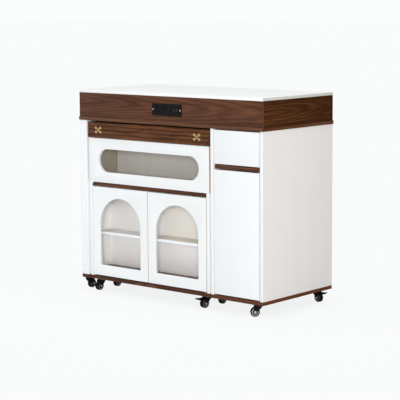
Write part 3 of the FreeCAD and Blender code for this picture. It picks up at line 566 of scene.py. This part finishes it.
def mix_finishes() -> None:
    """Makes every finish once and keeps it by name."""
    recipes = [
        Wood("walnut_along", *WALNUT),
        Wood("walnut_front", *WALNUT, rings=34, ring_share=0.2, heart=(-0.2, -0.19, 0.815),
             turn=(0, 0.8, 3), wander=6, profile="SIN", draw=0.07),
        Wood("walnut_across", *END_WALNUT, Axis.Y, rings=30, ring_share=0.14, gloss=0.6,
             heart=(0.466, 0.12, 0.812), turn=(1.5, 0, 6), shine=0.02, wander=7,
             profile="SIN", purple=(0.86, 0.70, 0.78), golden=(1.1, 1.12, 0.96), draw=0.1),
        Wood("walnut_leaf", *LEAF_WALNUT, rings=80, ring_share=0.5, gloss=0.45,
             heart=(0, 0.2, 0.6), profile="SIN", draw=0.1),
        # A lighter walnut for the apron floor's proud front: a painted highlight of the light its
        # edge catches.
        Wood("walnut_lip", (0.060, 0.024, 0.011), (0.118, 0.052, 0.025), (0.165, 0.078, 0.038)),
        # A lighter walnut for the front strip of the apron's ends: a worn mitre, lightened further
        # as a painted highlight of the corner.
        Wood("walnut_worn", (0.100, 0.050, 0.018), (0.150, 0.082, 0.030), (0.20, 0.115, 0.045),
             Axis.Z, gloss=0.6, shine=0.02),
        Wood("walnut_base", *BASE_WALNUT),
        Wood("walnut_base_end", *BASE_WALNUT, Axis.Y, gloss=0.6, shine=0.03),
        Wood("walnut_strip", (0.020, 0.006, 0.002), (0.045, 0.014, 0.006), (0.07, 0.024, 0.01),
             Axis.Z, gloss=0.6, shine=0.02),
        Wood("maple", (0.42, 0.28, 0.15), (0.6, 0.43, 0.26), (0.7, 0.54, 0.36), Axis.Y, 30, 0.4),
        Wood("birch", (0.6, 0.5, 0.38), (0.72, 0.63, 0.5), (0.8, 0.72, 0.6), Axis.X, 18, 0.3),
        # A warm brown for the fronts' edges: painted shade that stands in for the dark gaps beside
        # them.
        Wood("raw_edge", (0.42, 0.31, 0.22), (0.55, 0.43, 0.32), (0.64, 0.52, 0.41),
             Axis.Z, 30, 0.2),
        Paint("white_front", (0.888, 0.912, 0.935), (0.878, 0.902, 0.926)),
        Paint("cart_white", (0.872, 0.895, 0.906), (0.860, 0.884, 0.894)),
        # The inside whites are lighter than the front white: painted light that lifts the shade
        # inside the cupboards.
        Paint("white_inside", (0.935, 0.92, 0.90), (0.92, 0.905, 0.885), 0.5),
        Paint("cupboard_back", (0.95, 0.932, 0.91), (0.94, 0.922, 0.898), 0.5),
        Paint("cream_back", (0.95, 0.925, 0.86), (0.935, 0.91, 0.84), 0.5),
        Paint("tan_shelf", (0.86, 0.78, 0.66), (0.84, 0.76, 0.64), 0.5),
        # The drawer's white box is painted grey and its left wall darker brown, as painted shade
        # inside the drawer; the dark line is a joint darkened as painted shade in the corner.
        Paint("drawer_grey", (0.535, 0.511, 0.466), (0.508, 0.484, 0.439), 0.5),
        Paint("drawer_brown", (0.371, 0.325, 0.259), (0.352, 0.307, 0.241), 0.5),
        Paint("drawer_joint", (0.16, 0.14, 0.11), (0.13, 0.115, 0.09), 0.6),
        # Grey for the cabinet's white sides: painted shade, darker than the fronts because less
        # light falls on them.
        Paint("grey_side", (0.80, 0.772, 0.748), (0.788, 0.758, 0.733), 0.46, (22, 22, 1.1)),
        Slab("white_stone", (0.935, 0.952, 0.947), (0.925, 0.942, 0.937), (0.97, 0.975, 0.975)),
        # Darker stone for the slab's two end faces: painted shade, as the ends get less light.
        Slab("stone_edge", (0.62, 0.61, 0.565), (0.58, 0.57, 0.53), (0.94, 0.94, 0.93)),
        Metal("old_brass", (0.64, 0.47, 0.23), (0.40, 0.27, 0.10), 0.34),
        Metal("bright_brass", (0.82, 0.60, 0.36), (0.66, 0.47, 0.25), 0.24),
        Metal("port_steel", (0.30, 0.30, 0.31), (0.2, 0.2, 0.21), 0.3),
        Metal("zinc", (0.72, 0.72, 0.73), (0.52, 0.52, 0.53)),
        Metal("bright_steel", (0.9, 0.9, 0.9), (0.7, 0.7, 0.71), 0.16),
        Metal("black_steel", (0.03, 0.03, 0.031), (0.014, 0.014, 0.015), 0.34),
        Moulded("outlet_black", (0.006, 0.006, 0.007), (0.012, 0.012, 0.013), 0.42, shine=0.07),
        Moulded("caster_black", (0.004, 0.004, 0.0045), (0.009, 0.009, 0.010), 0.45, shine=0.1),
        Moulded("tyre", (0.005, 0.005, 0.005), (0.011, 0.011, 0.011), 0.65, 900, 0.0002, 0.06),
        Glass("clear_pane"),
    ]
    for recipe in recipes:
        FINISHES[recipe.name] = recipe.material()
    LOG.info("%d finishes", len(FINISHES))


def dress(piece: Piece, finish: str) -> Piece:
    """Gives the whole piece one finish."""
    piece.data.materials.clear()
    piece.data.materials.append(FINISHES[finish])
    return piece


def dress_faces(piece: Piece, finish: str, test: Test) -> None:
    """Gives the faces that pass the test a finish of their own."""
    piece.data.materials.append(FINISHES[finish])
    last = len(piece.data.materials) - 1
    for face in piece.data.polygons:
        if test(face.center, face.normal):
            face.material_index = last


def seat(piece: Piece, body: str,
         nodes: Sequence[str] = ()) -> Piece:
    """Hands a finished piece over to the frame.

    Args:
        piece: The finished piece.
        body: The body that it rides on.
        nodes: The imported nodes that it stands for.

    Returns:
        The same piece.
    """
    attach(piece, body)
    if nodes:
        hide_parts(*nodes)
    LOG.info("%s on %s, %d faces", piece.name, body, len(piece.data.polygons))
    return piece


# Small fittings


@dataclass(frozen=True)
class Screw:
    """A screw head, modelled once and copied to every place that needs one."""

    radius: float = 0.0026
    height: float = 0.0012
    finish: str = "zinc"
    sides: int = 20
    top_share: float = 0.86
    rounding_share: float = 0.3
    rim_share: float = 0.42
    socket_share: float = 0.5

    def model(self) -> Piece:
        """Turns one head that stands on the bench and points up."""
        head = add_round("screw", (0, 0, 0), (0, 0, self.height), self.radius, self.sides,
                         self.radius * self.top_share)
        ease(head, self.height * self.rounding_share)
        sink(head, lambda _place, normal: normal.z > 0.99, self.radius * self.rim_share,
             self.height * self.socket_share)
        return dress(head, self.finish)

    def drive(self, name: str, places: Sequence[tuple[Triple, Triple]]) -> Piece:
        """Sets a screw at each place.

        Args:
            name: The name of the set.
            places: The seat of each head and the way it points.

        Returns:
            All the heads as one piece.
        """
        bench = self.model()
        heads = []
        for count, (place, out) in enumerate(places):
            turn = Vector((0, 0, 1)).rotation_difference(Vector(out)).to_matrix().to_4x4()
            heads.append(spare(bench, f"{name}_{count}", Matrix.Translation(place) @ turn))
        bpy.data.objects.remove(bench)
        return join(heads, name)


BACK_SCREW = Screw(radius=0.0035)
OUTLET_SCREW = Screw(radius=0.0033)
HINGE_SCREW = Screw(radius=0.0028, height=0.0009, finish="bright_brass")
PLATE_SCREW = Screw(height=0.0013)


@dataclass(frozen=True)
class ShelfPin:
    """A steel pin that carries a shelf."""

    radius: float = 0.0025
    length: float = 0.009
    inset: float = 0.02
    sides: int = 16
    rounding: float = 0.0005

    def put_under(self, node: str, body: str) -> None:
        """Puts four pins under a shelf."""
        low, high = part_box(node)
        level = low.z - self.radius
        pins = []
        for x, step in ((low.x, 1), (high.x, -1)):
            for y in (low.y + self.inset, high.y - self.inset):
                pin = add_round("pin", (x, y, level), (x + step * self.length, y, level),
                                self.radius, self.sides)
                pins.append(ease(pin, self.rounding))
        seat(dress(join(pins, node + "_pins"), "zinc"), body)


# Sub-assemblies


@dataclass
class SubAssembly:
    """What every unit of the island shares: a body, an easing and its boards."""

    body: str
    easing: float = 0.0006
    steps: int = 2

    def board(self, node: str, slot: str, finish: str,
              eased: bool = True) -> Piece:
        """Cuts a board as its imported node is, to stand for it, with eased edges or not."""
        piece = merged_copy(node, node + "_board")
        if eased:
            ease(piece, self.easing, self.steps)
        dress(piece, finish)
        return seat(piece, self.body, [node])

    def walnut(self, node: str, finish: str = "walnut_along") -> Piece:
        """Cuts a board of walnut."""
        return self.board(node, "walnut_board", finish)

    def white(self, node: str, finish: str = "white_inside", eased: bool = True) -> Piece:
        """Cuts a board of white."""
        return self.board(node, "white_board", finish, eased)

    def keep(self, node: str, finish: str) -> None:
        """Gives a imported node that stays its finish."""
        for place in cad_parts[node].material_slots:
            place.material = FINISHES[finish]


@dataclass
class Front(SubAssembly):
    """What the drawers and doors share: a crisp front of white board."""

    easing: float = 0.0009
    steps: int = 3
    gap_shade_reach: float = 0.001

    def front(self, node: str, finish: str) -> Piece:
        """Cuts the front, its two outer side edges painted warm brown as painted shade of the gaps
        beside them.
        """
        piece = self.white(node, finish)
        low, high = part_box(node)
        dress_faces(piece, "raw_edge", lambda place, normal: abs(normal.x) > 0.9 and (
            place.x < low.x + self.gap_shade_reach or place.x > high.x - self.gap_shade_reach))
        return piece


@dataclass
class Island(SubAssembly):
    """The fixed unit: slab, apron, slim leg, cabinet, back and outlet."""

    body: str = "island"
    wear_and_highlight_edge: float = 0.004
    rear_strip: float = 0.015
    outer_share: float = 0.9
    half_board: float = 0.0075
    screw_inset: float = 0.008

    def top(self) -> None:
        """Lays the slab on its walnut apron."""
        slab = self.board("worktop", "white_slab", "white_stone")
        # The slab's end faces take the darker stone: painted shade.
        dress_faces(slab, "stone_edge", lambda _place, normal: abs(normal.x) > 0.6)
        self.walnut("apron_front", "walnut_front")
        self.walnut("apron_back")
        ends = self.walnut("apron_ends", "walnut_across")
        low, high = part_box("apron_ends")
        near, far = low.y + self.wear_and_highlight_edge, high.y - self.rear_strip
        score(ends, (0, near, 0), (0, 1, 0))
        score(ends, (0, far, 0), (0, 1, 0))
        outer = self.outer_share * high.x
        # The front strip is lighter, partly wear and partly a painted highlight of the corner; the
        # rear strip is darker.
        for finish, start, end in (("walnut_worn", low.y, near), ("walnut_strip", far, high.y)):
            dress_faces(ends, finish, lambda place, normal: (
                start < place.y < end and abs(place.x) > outer and abs(normal.x) > 0.5))
        # The floor's front and ends are lighter than the apron above: a painted highlight of the
        # light its proud edge catches.
        floor = self.walnut("apron_floor", "walnut_lip")
        dress_faces(floor, "walnut_base_end", lambda _place, normal: abs(normal.x) > 0.5)

    def leg(self) -> None:
        """Stands the slim leg at the left."""
        self.white("leg_panels", "white_front")
        self.white("leg_fillers", "white_front")
        self.walnut("leg_base", "walnut_base")

    def cabinet(self) -> None:
        """Stands the cabinet at the right, its white sides painted greyer than its front edges as
        painted shade.
        """
        panels = self.board("cabinet_panels", "grey_board", "grey_side")
        dress_faces(panels, "white_front", lambda _place, normal: normal.y < -0.4)
        base = self.walnut("cabinet_base", "walnut_base")
        dress_faces(base, "walnut_base_end", lambda _place, normal: abs(normal.x) > 0.5)
        self.walnut("cabinet_divider")
        self.white("cabinet_shelf")
        ShelfPin().put_under("cabinet_shelf", self.body)

    def back(self) -> None:
        """Screws the back panel on, round its edge and down the cabinet's side."""
        self.white("back_panel")
        low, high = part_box("back_panel")
        inset = self.screw_inset
        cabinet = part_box("cabinet_panels")[0].x + self.half_board
        bay, middle = (low.x + cabinet) / 2, (low.z + high.z) / 2
        columns = (low.x + inset, bay, cabinet, high.x - inset)
        rows = (low.z + inset, middle, high.z - inset)
        places = [((x, high.y, z), (0, 1, 0)) for x in columns for z in rows
                  if (x, z) != (bay, middle)]
        seat(BACK_SCREW.drive("back_panel_screws", places), self.body)

    def build(self) -> None:
        """Builds the whole unit."""
        self.top()
        self.leg()
        self.cabinet()
        self.back()
        PowerOutlet().build()
        self.keep("bay_rails", "maple")
        self.keep("cabinet_slides", "zinc")
        self.keep("cabinet_door_pivots", "zinc")


@dataclass
class PowerOutlet(SubAssembly):
    """The outlet in the apron: bezel, dark sockets, bright ports and two screws."""

    body: str = "island"
    easing: float = 0.0004
    screw_inset: float = 0.0068
    ports_start: float = 0.1
    ports_end: float = 0.012
    ports_rise: float = 0.0075
    ports_near: float = 0.0005
    ports_far: float = 0.02

    def build(self) -> None:
        """Dresses the outlet."""
        low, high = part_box("power_outlet")
        middle = (low.z + high.z) / 2
        face = merged_copy("power_outlet", "power_outlet_face")
        dress(ease(face, self.easing), "outlet_black")
        seat(face, self.body, ["power_outlet"])
        dress_faces(face, "port_steel", lambda place, _normal: (
            low.x + self.ports_start < place.x < high.x - self.ports_end
            and low.y + self.ports_near < place.y < low.y + self.ports_far
            and abs(place.z - middle) < self.ports_rise))
        places = [((x, low.y, middle), (0, -1, 0))
                  for x in (low.x + self.screw_inset, high.x - self.screw_inset)]
        seat(OUTLET_SCREW.drive("outlet_screws", places), self.body)


@dataclass
class Leaf(SubAssembly):
    """The folding walnut leaf with its two butterfly hinges."""

    body: str = "leaf"
    easing: float = 0.0012
    steps: int = 3
    wing_reach: float = 0.0192
    wing_easing: float = 0.0004
    lobe: Pair = (0.013, 0.009)
    barrel_length: float = 0.010
    barrel_sink: float = 0.0011
    knuckles: int = 5
    knuckle_radius: float = 0.002
    knuckle_gap: float = 0.0001
    knuckle_easing: float = 0.0002

    def hinges(self) -> None:
        """Dresses the hinges: rounded brass wings, screws and a knuckled barrel."""
        low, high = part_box("leaf_hinges")
        middle = (low.z + high.z) / 2
        centres = (low.x + self.wing_reach, high.x - self.wing_reach)
        wings = ease(merged_copy("leaf_hinges", "butterfly_hinges"), self.wing_easing, 3)
        dress(wings, "old_brass")
        places = [((x + side * self.lobe[0], low.y, middle + rise * self.lobe[1]), (0, -1, 0))
                  for x in centres for side in (-1, 1) for rise in (-1, 1)]
        heads = HINGE_SCREW.drive("hinge_screws", places)
        seat(wings, self.body, ["leaf_hinges"])
        seat(heads, self.body)
        step = self.barrel_length / self.knuckles
        level = low.y + self.barrel_sink
        rings = []
        for x in centres:
            for count in range(self.knuckles):
                start = x - self.barrel_length / 2 + count * step
                ring = add_round("knuckle", (start + self.knuckle_gap, level, middle),
                                 (start + step - self.knuckle_gap, level, middle),
                                 self.knuckle_radius, 20)
                rings.append(ease(ring, self.knuckle_easing))
        seat(dress(join(rings, "hinge_knuckles"), "old_brass"), self.body)

    def build(self) -> None:
        """Builds the leaf."""
        self.walnut("lower_leaf", "walnut_leaf")
        self.walnut("upper_leaf", "walnut_leaf")
        self.hinges()


@dataclass
class Cart(SubAssembly):
    """The pull-out cart's carcass."""

    body: str = "cart"
    cream_share: float = 0.5

    def warm_half(self) -> None:
        """Lays the shelf and the backs, the backs painted lighter than the front white as painted
        light, in a warmer tone at the upper right.
        """
        low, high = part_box("cart_shelf")
        middle = low.x + (high.x - low.x) * self.cream_share
        backs = self.white("cart_backs", "cupboard_back")
        score(backs, (middle, 0, 0), (1, 0, 0))
        score(backs, (0, 0, low.z), (0, 0, 1))
        dress_faces(backs, "cream_back", lambda place, _normal: (
            place.x > middle and place.z > low.z))
        shelf = self.white("cart_shelf", "white_front")
        score(shelf, (middle, 0, 0), (1, 0, 0))
        dress_faces(shelf, "white_inside", lambda _place, normal: normal.y > -0.4)
        dress_faces(shelf, "tan_shelf", lambda place, normal: (
            place.x > middle and normal.z > 0.9))

    def build(self) -> None:
        """Builds the carcass."""
        panels = self.white("cart_panels")
        dress_faces(panels, "cart_white", lambda _place, normal: normal.y < -0.4)
        self.walnut("cart_base", "walnut_base")
        self.walnut("cart_floor")
        self.white("cart_top")
        self.walnut("cart_divider")
        self.warm_half()
        ShelfPin().put_under("cart_shelf", self.body)
        self.keep("cart_slides", "zinc")
        self.keep("cart_door_pivots", "zinc")


@dataclass
class CartDrawer(Front):
    """The cart's drawer, with the long round-ended window in its front."""

    body: str = "cart_drawer"
    bar_width: float = 0.011
    wall_width: float = 0.012
    wall_skin: float = 0.001
    bar_skin: float = 0.0001
    joint: float = 0.003

    def build(self) -> None:
        """Builds the drawer."""
        self.front("window_front", "cart_white")
        # The white box is painted grey as painted shade, its left wall darker still as painted
        # shade, and the back's left corner takes a dark joint line darkened as painted shade.
        box = self.white("cart_drawer_box", "drawer_grey", eased=False)
        low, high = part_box("cart_drawer_box")
        left, right = low.x + self.bar_width, high.x - self.bar_width
        wall = left + self.wall_width
        score(box, (wall + self.joint, 0, 0), (1, 0, 0))
        dress_faces(box, "drawer_brown", lambda place, normal: (
            left < place.x < wall + self.wall_skin and normal.x > 0.5))
        dress_faces(box, "drawer_joint", lambda place, normal: (
            wall < place.x < wall + self.joint and normal.y < -0.5))
        dress_faces(box, "zinc", lambda place, _normal: (
            not left + self.bar_skin < place.x < right - self.bar_skin))


@dataclass
class GlassDoor(Front):
    """An arched glass door of the cart."""

    hand: str = "left"
    bead_width: float = 0.005
    bead_depth: float = 0.006
    bead_easing: float = 0.0006

    def bead(self) -> None:
        """Frames the back of the pane with a bead that holds it in its rebate."""
        node = f"cart_glass_{self.hand}"
        piece = merged_copy(node, f"glazing_bead_{self.hand}")
        pick(piece, lambda _place, normal: normal.y < 0.9)
        bpy.ops.mesh.delete(type="FACE")
        bpy.ops.mesh.select_all(action="SELECT")
        bpy.ops.mesh.inset(thickness=self.bead_width, depth=0)
        bpy.ops.mesh.delete(type="FACE")
        bpy.ops.mesh.select_all(action="SELECT")
        bpy.ops.mesh.extrude_region_move(
            TRANSFORM_OT_translate={"value": (0, self.bead_depth, 0)})
        leave()
        work(piece, bpy.ops.mesh.normals_make_consistent, inside=False)
        ease(piece, self.bead_easing, angle=40, smooth=40)
        seat(dress(piece, "white_inside"), self.body)

    def build(self) -> None:
        """Builds the door."""
        self.front(f"cart_door_{self.hand}", "cart_white")
        self.keep(f"cart_glass_{self.hand}", "clear_pane")
        self.bead()


@dataclass
class CabinetDrawer(Front):
    """The drawer at the right."""

    body: str = "drawer"

    def build(self) -> None:
        """Builds the drawer, its front's top edge also painted brown as painted shade of the gap
        above it.
        """
        front = self.front("drawer_front", "white_front")
        dress_faces(front, "raw_edge", lambda _place, normal: normal.z > 0.9)
        self.keep("drawer_box", "birch")


@dataclass
class CabinetDoor(Front):
    """The plain door at the right."""

    body: str = "door"

    def build(self) -> None:
        """Builds the door."""
        self.front("cabinet_door", "white_front")


# The castors


class Lean(Enum):
    """The way a castor trails, in degrees from the island's length."""

    BACK = 90
    CORNER = 222
    ASKEW = 260
    FRONT = 270
    SIDE = 350


@dataclass
class CasterBench:
    """A small swivel castor, modelled once with its swivel at the origin."""

    radius: float = 0.019
    width: float = 0.017
    trail: float = 0.014
    facets: int = 72
    tyre_rounding: float = 0.0026
    rim: float = 0.0136
    groove: Pair = (0.0003, 0.0009)
    dish: float = 0.0108
    dish_depth: float = 0.0018
    boss: float = 0.006
    boss_rise: float = 0.0014
    slope: float = 0.0004
    bore: float = 0.00225
    cheek: float = 0.0113
    washer: Pair = (0.0052, 0.0006)
    nut: Pair = (0.0042, 0.0026)
    nut_rim: float = 0.0012
    nut_easing: float = 0.0004
    axle_end: float = 0.0006
    rivet: Pair = (0.0021, 0.0011)
    rivet_easing: float = 0.0006
    rivet_place: Pair = (0.007, 0.0412)
    fork_easing: float = 0.0005
    pedal_easing: float = 0.0007
    wedge_low: Triple = (0.0315, -0.0085, 0.035)
    wedge_high: Triple = (0.0545, 0.0085, 0.0412)
    wedge_steps: tuple[Triple, ...] = ((0.034, 0.98, 1.2), (0.040, 0.95, 0.82),
                                       (0.047, 0.92, 0.58), (0.053, 0.88, 0.4))
    wedge_easing: float = 0.0009
    ribs: int = 4
    rib_inset: float = 0.003
    rib_pitch: float = 0.0034
    rib_low: Triple = (-0.0006, -0.0065, -0.0004)
    rib_high: Triple = (0.0006, 0.0065, 0.0007)
    rib_lift: float = 0.0012
    rib_climb: float = 0.0026
    rib_run: float = 0.018
    rib_easing: float = 0.0003

    def reach(self, place: Vector) -> float:
        """Gives a point's distance from the axle."""
        return math.hypot(place.x - self.trail, place.z - self.radius)

    def wheel(self) -> Piece:
        """Turns a rounded tyre on a hub with a bright ring and a sunk disc."""
        wheel = add_round("wheel", (self.trail, -self.width / 2, self.radius),
                          (self.trail, self.width / 2, self.radius), self.radius, self.facets)
        ease(wheel, self.tyre_rounding, 5)
        pick(wheel, lambda place, normal: abs(normal.y) > 0.999 and self.reach(place) < 0.001)
        cut, sunk = self.groove
        flat = self.radius - self.tyre_rounding
        for inset, rise in ((flat - self.rim - 2 * cut, 0), (cut, -sunk), (cut, sunk),
                            (self.rim - self.dish, 0), (self.slope, -self.dish_depth),
                            (self.dish - self.boss - 2 * self.slope, 0),
                            (self.slope, self.boss_rise), (self.boss - self.bore, 0)):
            bpy.ops.mesh.inset(thickness=inset, depth=rise, use_individual=True)
        bpy.ops.mesh.bridge_edge_loops()
        leave()
        bpy.ops.object.shade_smooth_by_angle(angle=math.radians(35))
        dress(wheel, "tyre")
        dress_faces(wheel, "zinc", lambda place, normal: (
            abs(normal.y) > 0.9 and self.dish < self.reach(place) < self.rim))
        dress_faces(wheel, "caster_black", lambda place, _normal: (
            self.reach(place) < self.dish))
        return wheel

    def bring(self, node: str, name: str, back: Matrix) -> Piece:
        """Copies a packed castor part and moves it back to the bench."""
        piece = merged_copy(node, name)
        piece.matrix_world = back
        return settle(piece)

    def fork(self, back: Matrix) -> Piece:
        """Eases the bent fork and sets a washer, a nut and a rivet on each side."""
        fork = ease(self.bring("leg_front_fork", "fork", back), self.fork_easing)
        parts = [dress(fork, "caster_black")]
        axle = (self.trail, self.radius)
        for side in (-1, 1):
            washer, nut, rivet = (
                add_round(name, (x, side * (self.cheek + start), z),
                          (x, side * (self.cheek + end), z), radius, sides)
                for name, (x, z), start, (radius, end), sides in (
                    ("washer", axle, 0, self.washer, 28),
                    ("nut", axle, self.washer[1], self.nut, 6),
                    ("rivet", self.rivet_place, 0, self.rivet, 20)))
            ease(nut, self.nut_easing)
            sink(nut, lambda _place, normal: side * normal.y > 0.99, self.nut_rim,
                 -self.axle_end)
            parts += [dress(washer, "zinc"), dress(nut, "bright_steel"),
                      dress(ease(rivet, self.rivet_easing, 3), "black_steel")]
        return join(parts, "fork")

    def pedal(self, back: Matrix) -> Piece:
        """Eases the pedal, with a ribbed wedge at its tip for the foot."""
        pedal = ease(self.bring("leg_rear_pedal", "pedal", back), self.pedal_easing, 3)
        wedge = add_block("wedge", self.wedge_low, self.wedge_high)
        work(wedge, bpy.ops.mesh.subdivide, number_cuts=3)
        top = self.wedge_high[2]
        for start, width, height in self.wedge_steps:
            swell(wedge, lambda point: point.x > start, (1, width, height), (0, 0, top))
        parts = [pedal, ease(wedge, self.wedge_easing, 3, 25)]
        tip = max(v.co.x for v in pedal.data.vertices)
        for count in range(self.ribs):
            inset = self.rib_inset + count * self.rib_pitch
            level = top + self.rib_lift + self.rib_climb * (1 - inset / self.rib_run)
            place = Vector((tip - inset, 0, level))
            rib = add_block("rib", place + Vector(self.rib_low), place + Vector(self.rib_high))
            parts.append(ease(rib, self.rib_easing))
        return dress(join(parts, "pedal"), "caster_black")


@dataclass
class Casters:
    """The eight castors: where each stands, the way it trails, and its plates."""

    leans: tuple[tuple[str, Lean, bool], ...] = (
        ("leg_front", Lean.BACK, False), ("leg_rear", Lean.BACK, True),
        ("main_front", Lean.CORNER, False), ("main_rear", Lean.SIDE, True),
        ("cart_front_left", Lean.FRONT, False), ("cart_rear_left", Lean.FRONT, True),
        ("cart_front_right", Lean.ASKEW, True), ("cart_rear_right", Lean.FRONT, False))
    screw_reach: float = 0.0148
    plate_under: float = 0.048
    plate_easing: float = 0.0004

    def swivel(self, name: str, lean: Lean, trail: float) -> Matrix:
        """Gives the move from the bench to the place of a castor that trails that way."""
        low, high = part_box(name + "_wheel")
        turn = math.radians(lean.value)
        middle = (low + high) / 2
        place = Vector((middle.x - trail * math.cos(turn), middle.y - trail * math.sin(turn), 0))
        return Matrix.Translation(place) @ Matrix.Rotation(turn, 4, "Z")

    def plates(self, node: str, body: str, moves: Sequence[Matrix]) -> None:
        """Eases the fixing plates of one unit and screws them on above its castors."""
        piece = merged_copy(node, node + "_steel")
        seat(dress(ease(piece, self.plate_easing), "black_steel"), body, [node])
        reach = self.screw_reach
        places = [(tuple(move @ Vector((0, 0, self.plate_under))
                         + Vector((i * reach, j * reach, 0))), (0, 0, -1))
                  for move in moves for i in (-1, 1) for j in (-1, 1)]
        seat(PLATE_SCREW.drive(node + "_screws", places), body)

    def build(self) -> None:
        """Models one castor and copies it to its eight places."""
        bench = CasterBench()
        moves = {name: self.swivel(name, lean, bench.trail)
                 for name, lean, _braked in self.leans}
        wheel = bench.wheel()
        fork = bench.fork(moves["leg_front"].inverted())
        pedal = bench.pedal(moves["leg_rear"].inverted())
        models = ((wheel, "rubber_wheel", "wheel", "wheel_rubber"),
                  (fork, "steel_fork", "fork", "caster_steel"),
                  (pedal, "brake_pedal", "pedal", "black_plastic"))
        for name, _lean, braked in self.leans:
            for piece, label, part, slot in models:
                if braked or part != "pedal":
                    node = f"{name}_{part}"
                    seat(spare(piece, f"{name}_{label}", moves[name]), node, [node])
        for piece in (wheel, fork, pedal):
            bpy.data.objects.remove(piece)
        for unit in ("island", "cart"):
            self.plates(f"{unit}_caster_plates", unit, [
                move for name, move in moves.items()
                if name.startswith("cart") == (unit == "cart")])


# The studio


@dataclass
class Room:
    """The pale floor, the soft lamps and the camera."""

    lens: float = 132.2963
    eye: Triple = (3.99357, -4.65258, 1.24066)
    heading: float = 40.7638
    tilt: float = 82.2481
    roll: float = -0.3735
    glow: float = 0.86
    air: float = 0.4
    lamps: tuple[tuple[str, Triple, float, float], ...] = (
        ("key", (-0.625, 0.765, -0.15), 1.57, 14), ("overhead", (0.05, 0.1, -1), 1.32, 70))

    def floor(self) -> None:
        """Lays a pale floor that keeps the shadow and reads white from afar."""
        bpy.ops.object.select_all(action="DESELECT")
        bpy.ops.mesh.primitive_circle_add(vertices=96, radius=90, fill_type="NGON")
        floor = bpy.context.object
        floor.name = "studio_floor"
        recipe = Recipe("studio_floor")
        haze = recipe.noise(recipe.place, 0.6, 2)
        recipe.feed("Base Color", recipe.ramp(haze, [(0.3, (0.845, 0.85, 0.85)),
                                                     (0.7, (0.86, 0.865, 0.865))]))
        recipe.set(Roughness=0.9, Specular_IOR_Level=0.1)
        glow = recipe.add("Emission", Color=(0.985, 1, 1, 1))
        seen = recipe.add("LightPath").outputs["Is Camera Ray"]
        recipe.share_out(recipe.reckon("MULTIPLY", seen, self.glow),
                         recipe.shader.outputs["BSDF"], glow.outputs["Emission"],
                         recipe.output)
        floor.data.materials.append(recipe.material)

    def sky(self) -> None:
        """Gives a soft even light, and white where the camera sees past the floor."""
        world = bpy.data.worlds.new("studio")
        bpy.context.scene.world = world
        world.use_nodes = True
        nodes = Nodes(world.node_tree)
        rays = nodes.add("LightPath").outputs
        seen = nodes.reckon("MAXIMUM", rays["Is Camera Ray"], rays["Is Glossy Ray"])
        seen = nodes.reckon("MAXIMUM", seen, rays["Is Transmission Ray"])
        soft = nodes.add("Background", Color=(1, 1, 1, 1), Strength=self.air)
        white = nodes.add("Background", Color=(0.965, 0.985, 0.985, 1), Strength=1)
        nodes.share_out(seen, soft.outputs[0], white.outputs[0], nodes.add("OutputWorld"))

    def lamp(self, name: str, aim: Triple, strength: float, spread: float) -> None:
        """Hangs one soft sun that gloss doesn't mirror, its spread in degrees."""
        data = bpy.data.lights.new(name, "SUN")
        data.energy = strength
        data.angle = math.radians(spread)
        lamp = bpy.data.objects.new(name, data)
        lamp.rotation_euler = Vector((0, 0, -1)).rotation_difference(
            Vector(aim).normalized()).to_euler()
        lamp.visible_glossy = False
        bpy.context.scene.collection.objects.link(lamp)

    def camera(self) -> None:
        """Sets the camera where the photograph was taken from."""
        data = bpy.data.cameras.new("camera")
        data.lens = self.lens
        data.sensor_width = 36
        data.clip_end = 500
        camera = bpy.data.objects.new("camera", data)
        camera.matrix_world = (
            Matrix.Translation(self.eye)
            @ Matrix.Rotation(math.radians(self.heading), 4, "Z")
            @ Matrix.Rotation(math.radians(self.tilt), 4, "X")
            @ Matrix.Rotation(math.radians(self.roll), 4, "Z"))
        bpy.context.scene.collection.objects.link(camera)
        bpy.context.scene.camera = camera

    def build(self) -> None:
        """Sets the whole room up."""
        self.floor()
        self.sky()
        for lamp in self.lamps:
            self.lamp(*lamp)
        self.camera()
        bpy.context.scene.view_settings.view_transform = "Standard"


def main() -> None:
    """Builds every sub-assembly in order and hands it over to the frame."""
    logging.basicConfig(level=logging.INFO, format="%(name)s: %(message)s")
    mix_finishes()
    units = [Island(), Leaf(), Cart(), CartDrawer(), GlassDoor("left_door", hand="left"),
             GlassDoor("right_door", hand="right"), CabinetDrawer(), CabinetDoor(), Casters()]
    for unit in units:
        unit.build()
    Room().build()


if __name__ == "__main__":
    main()
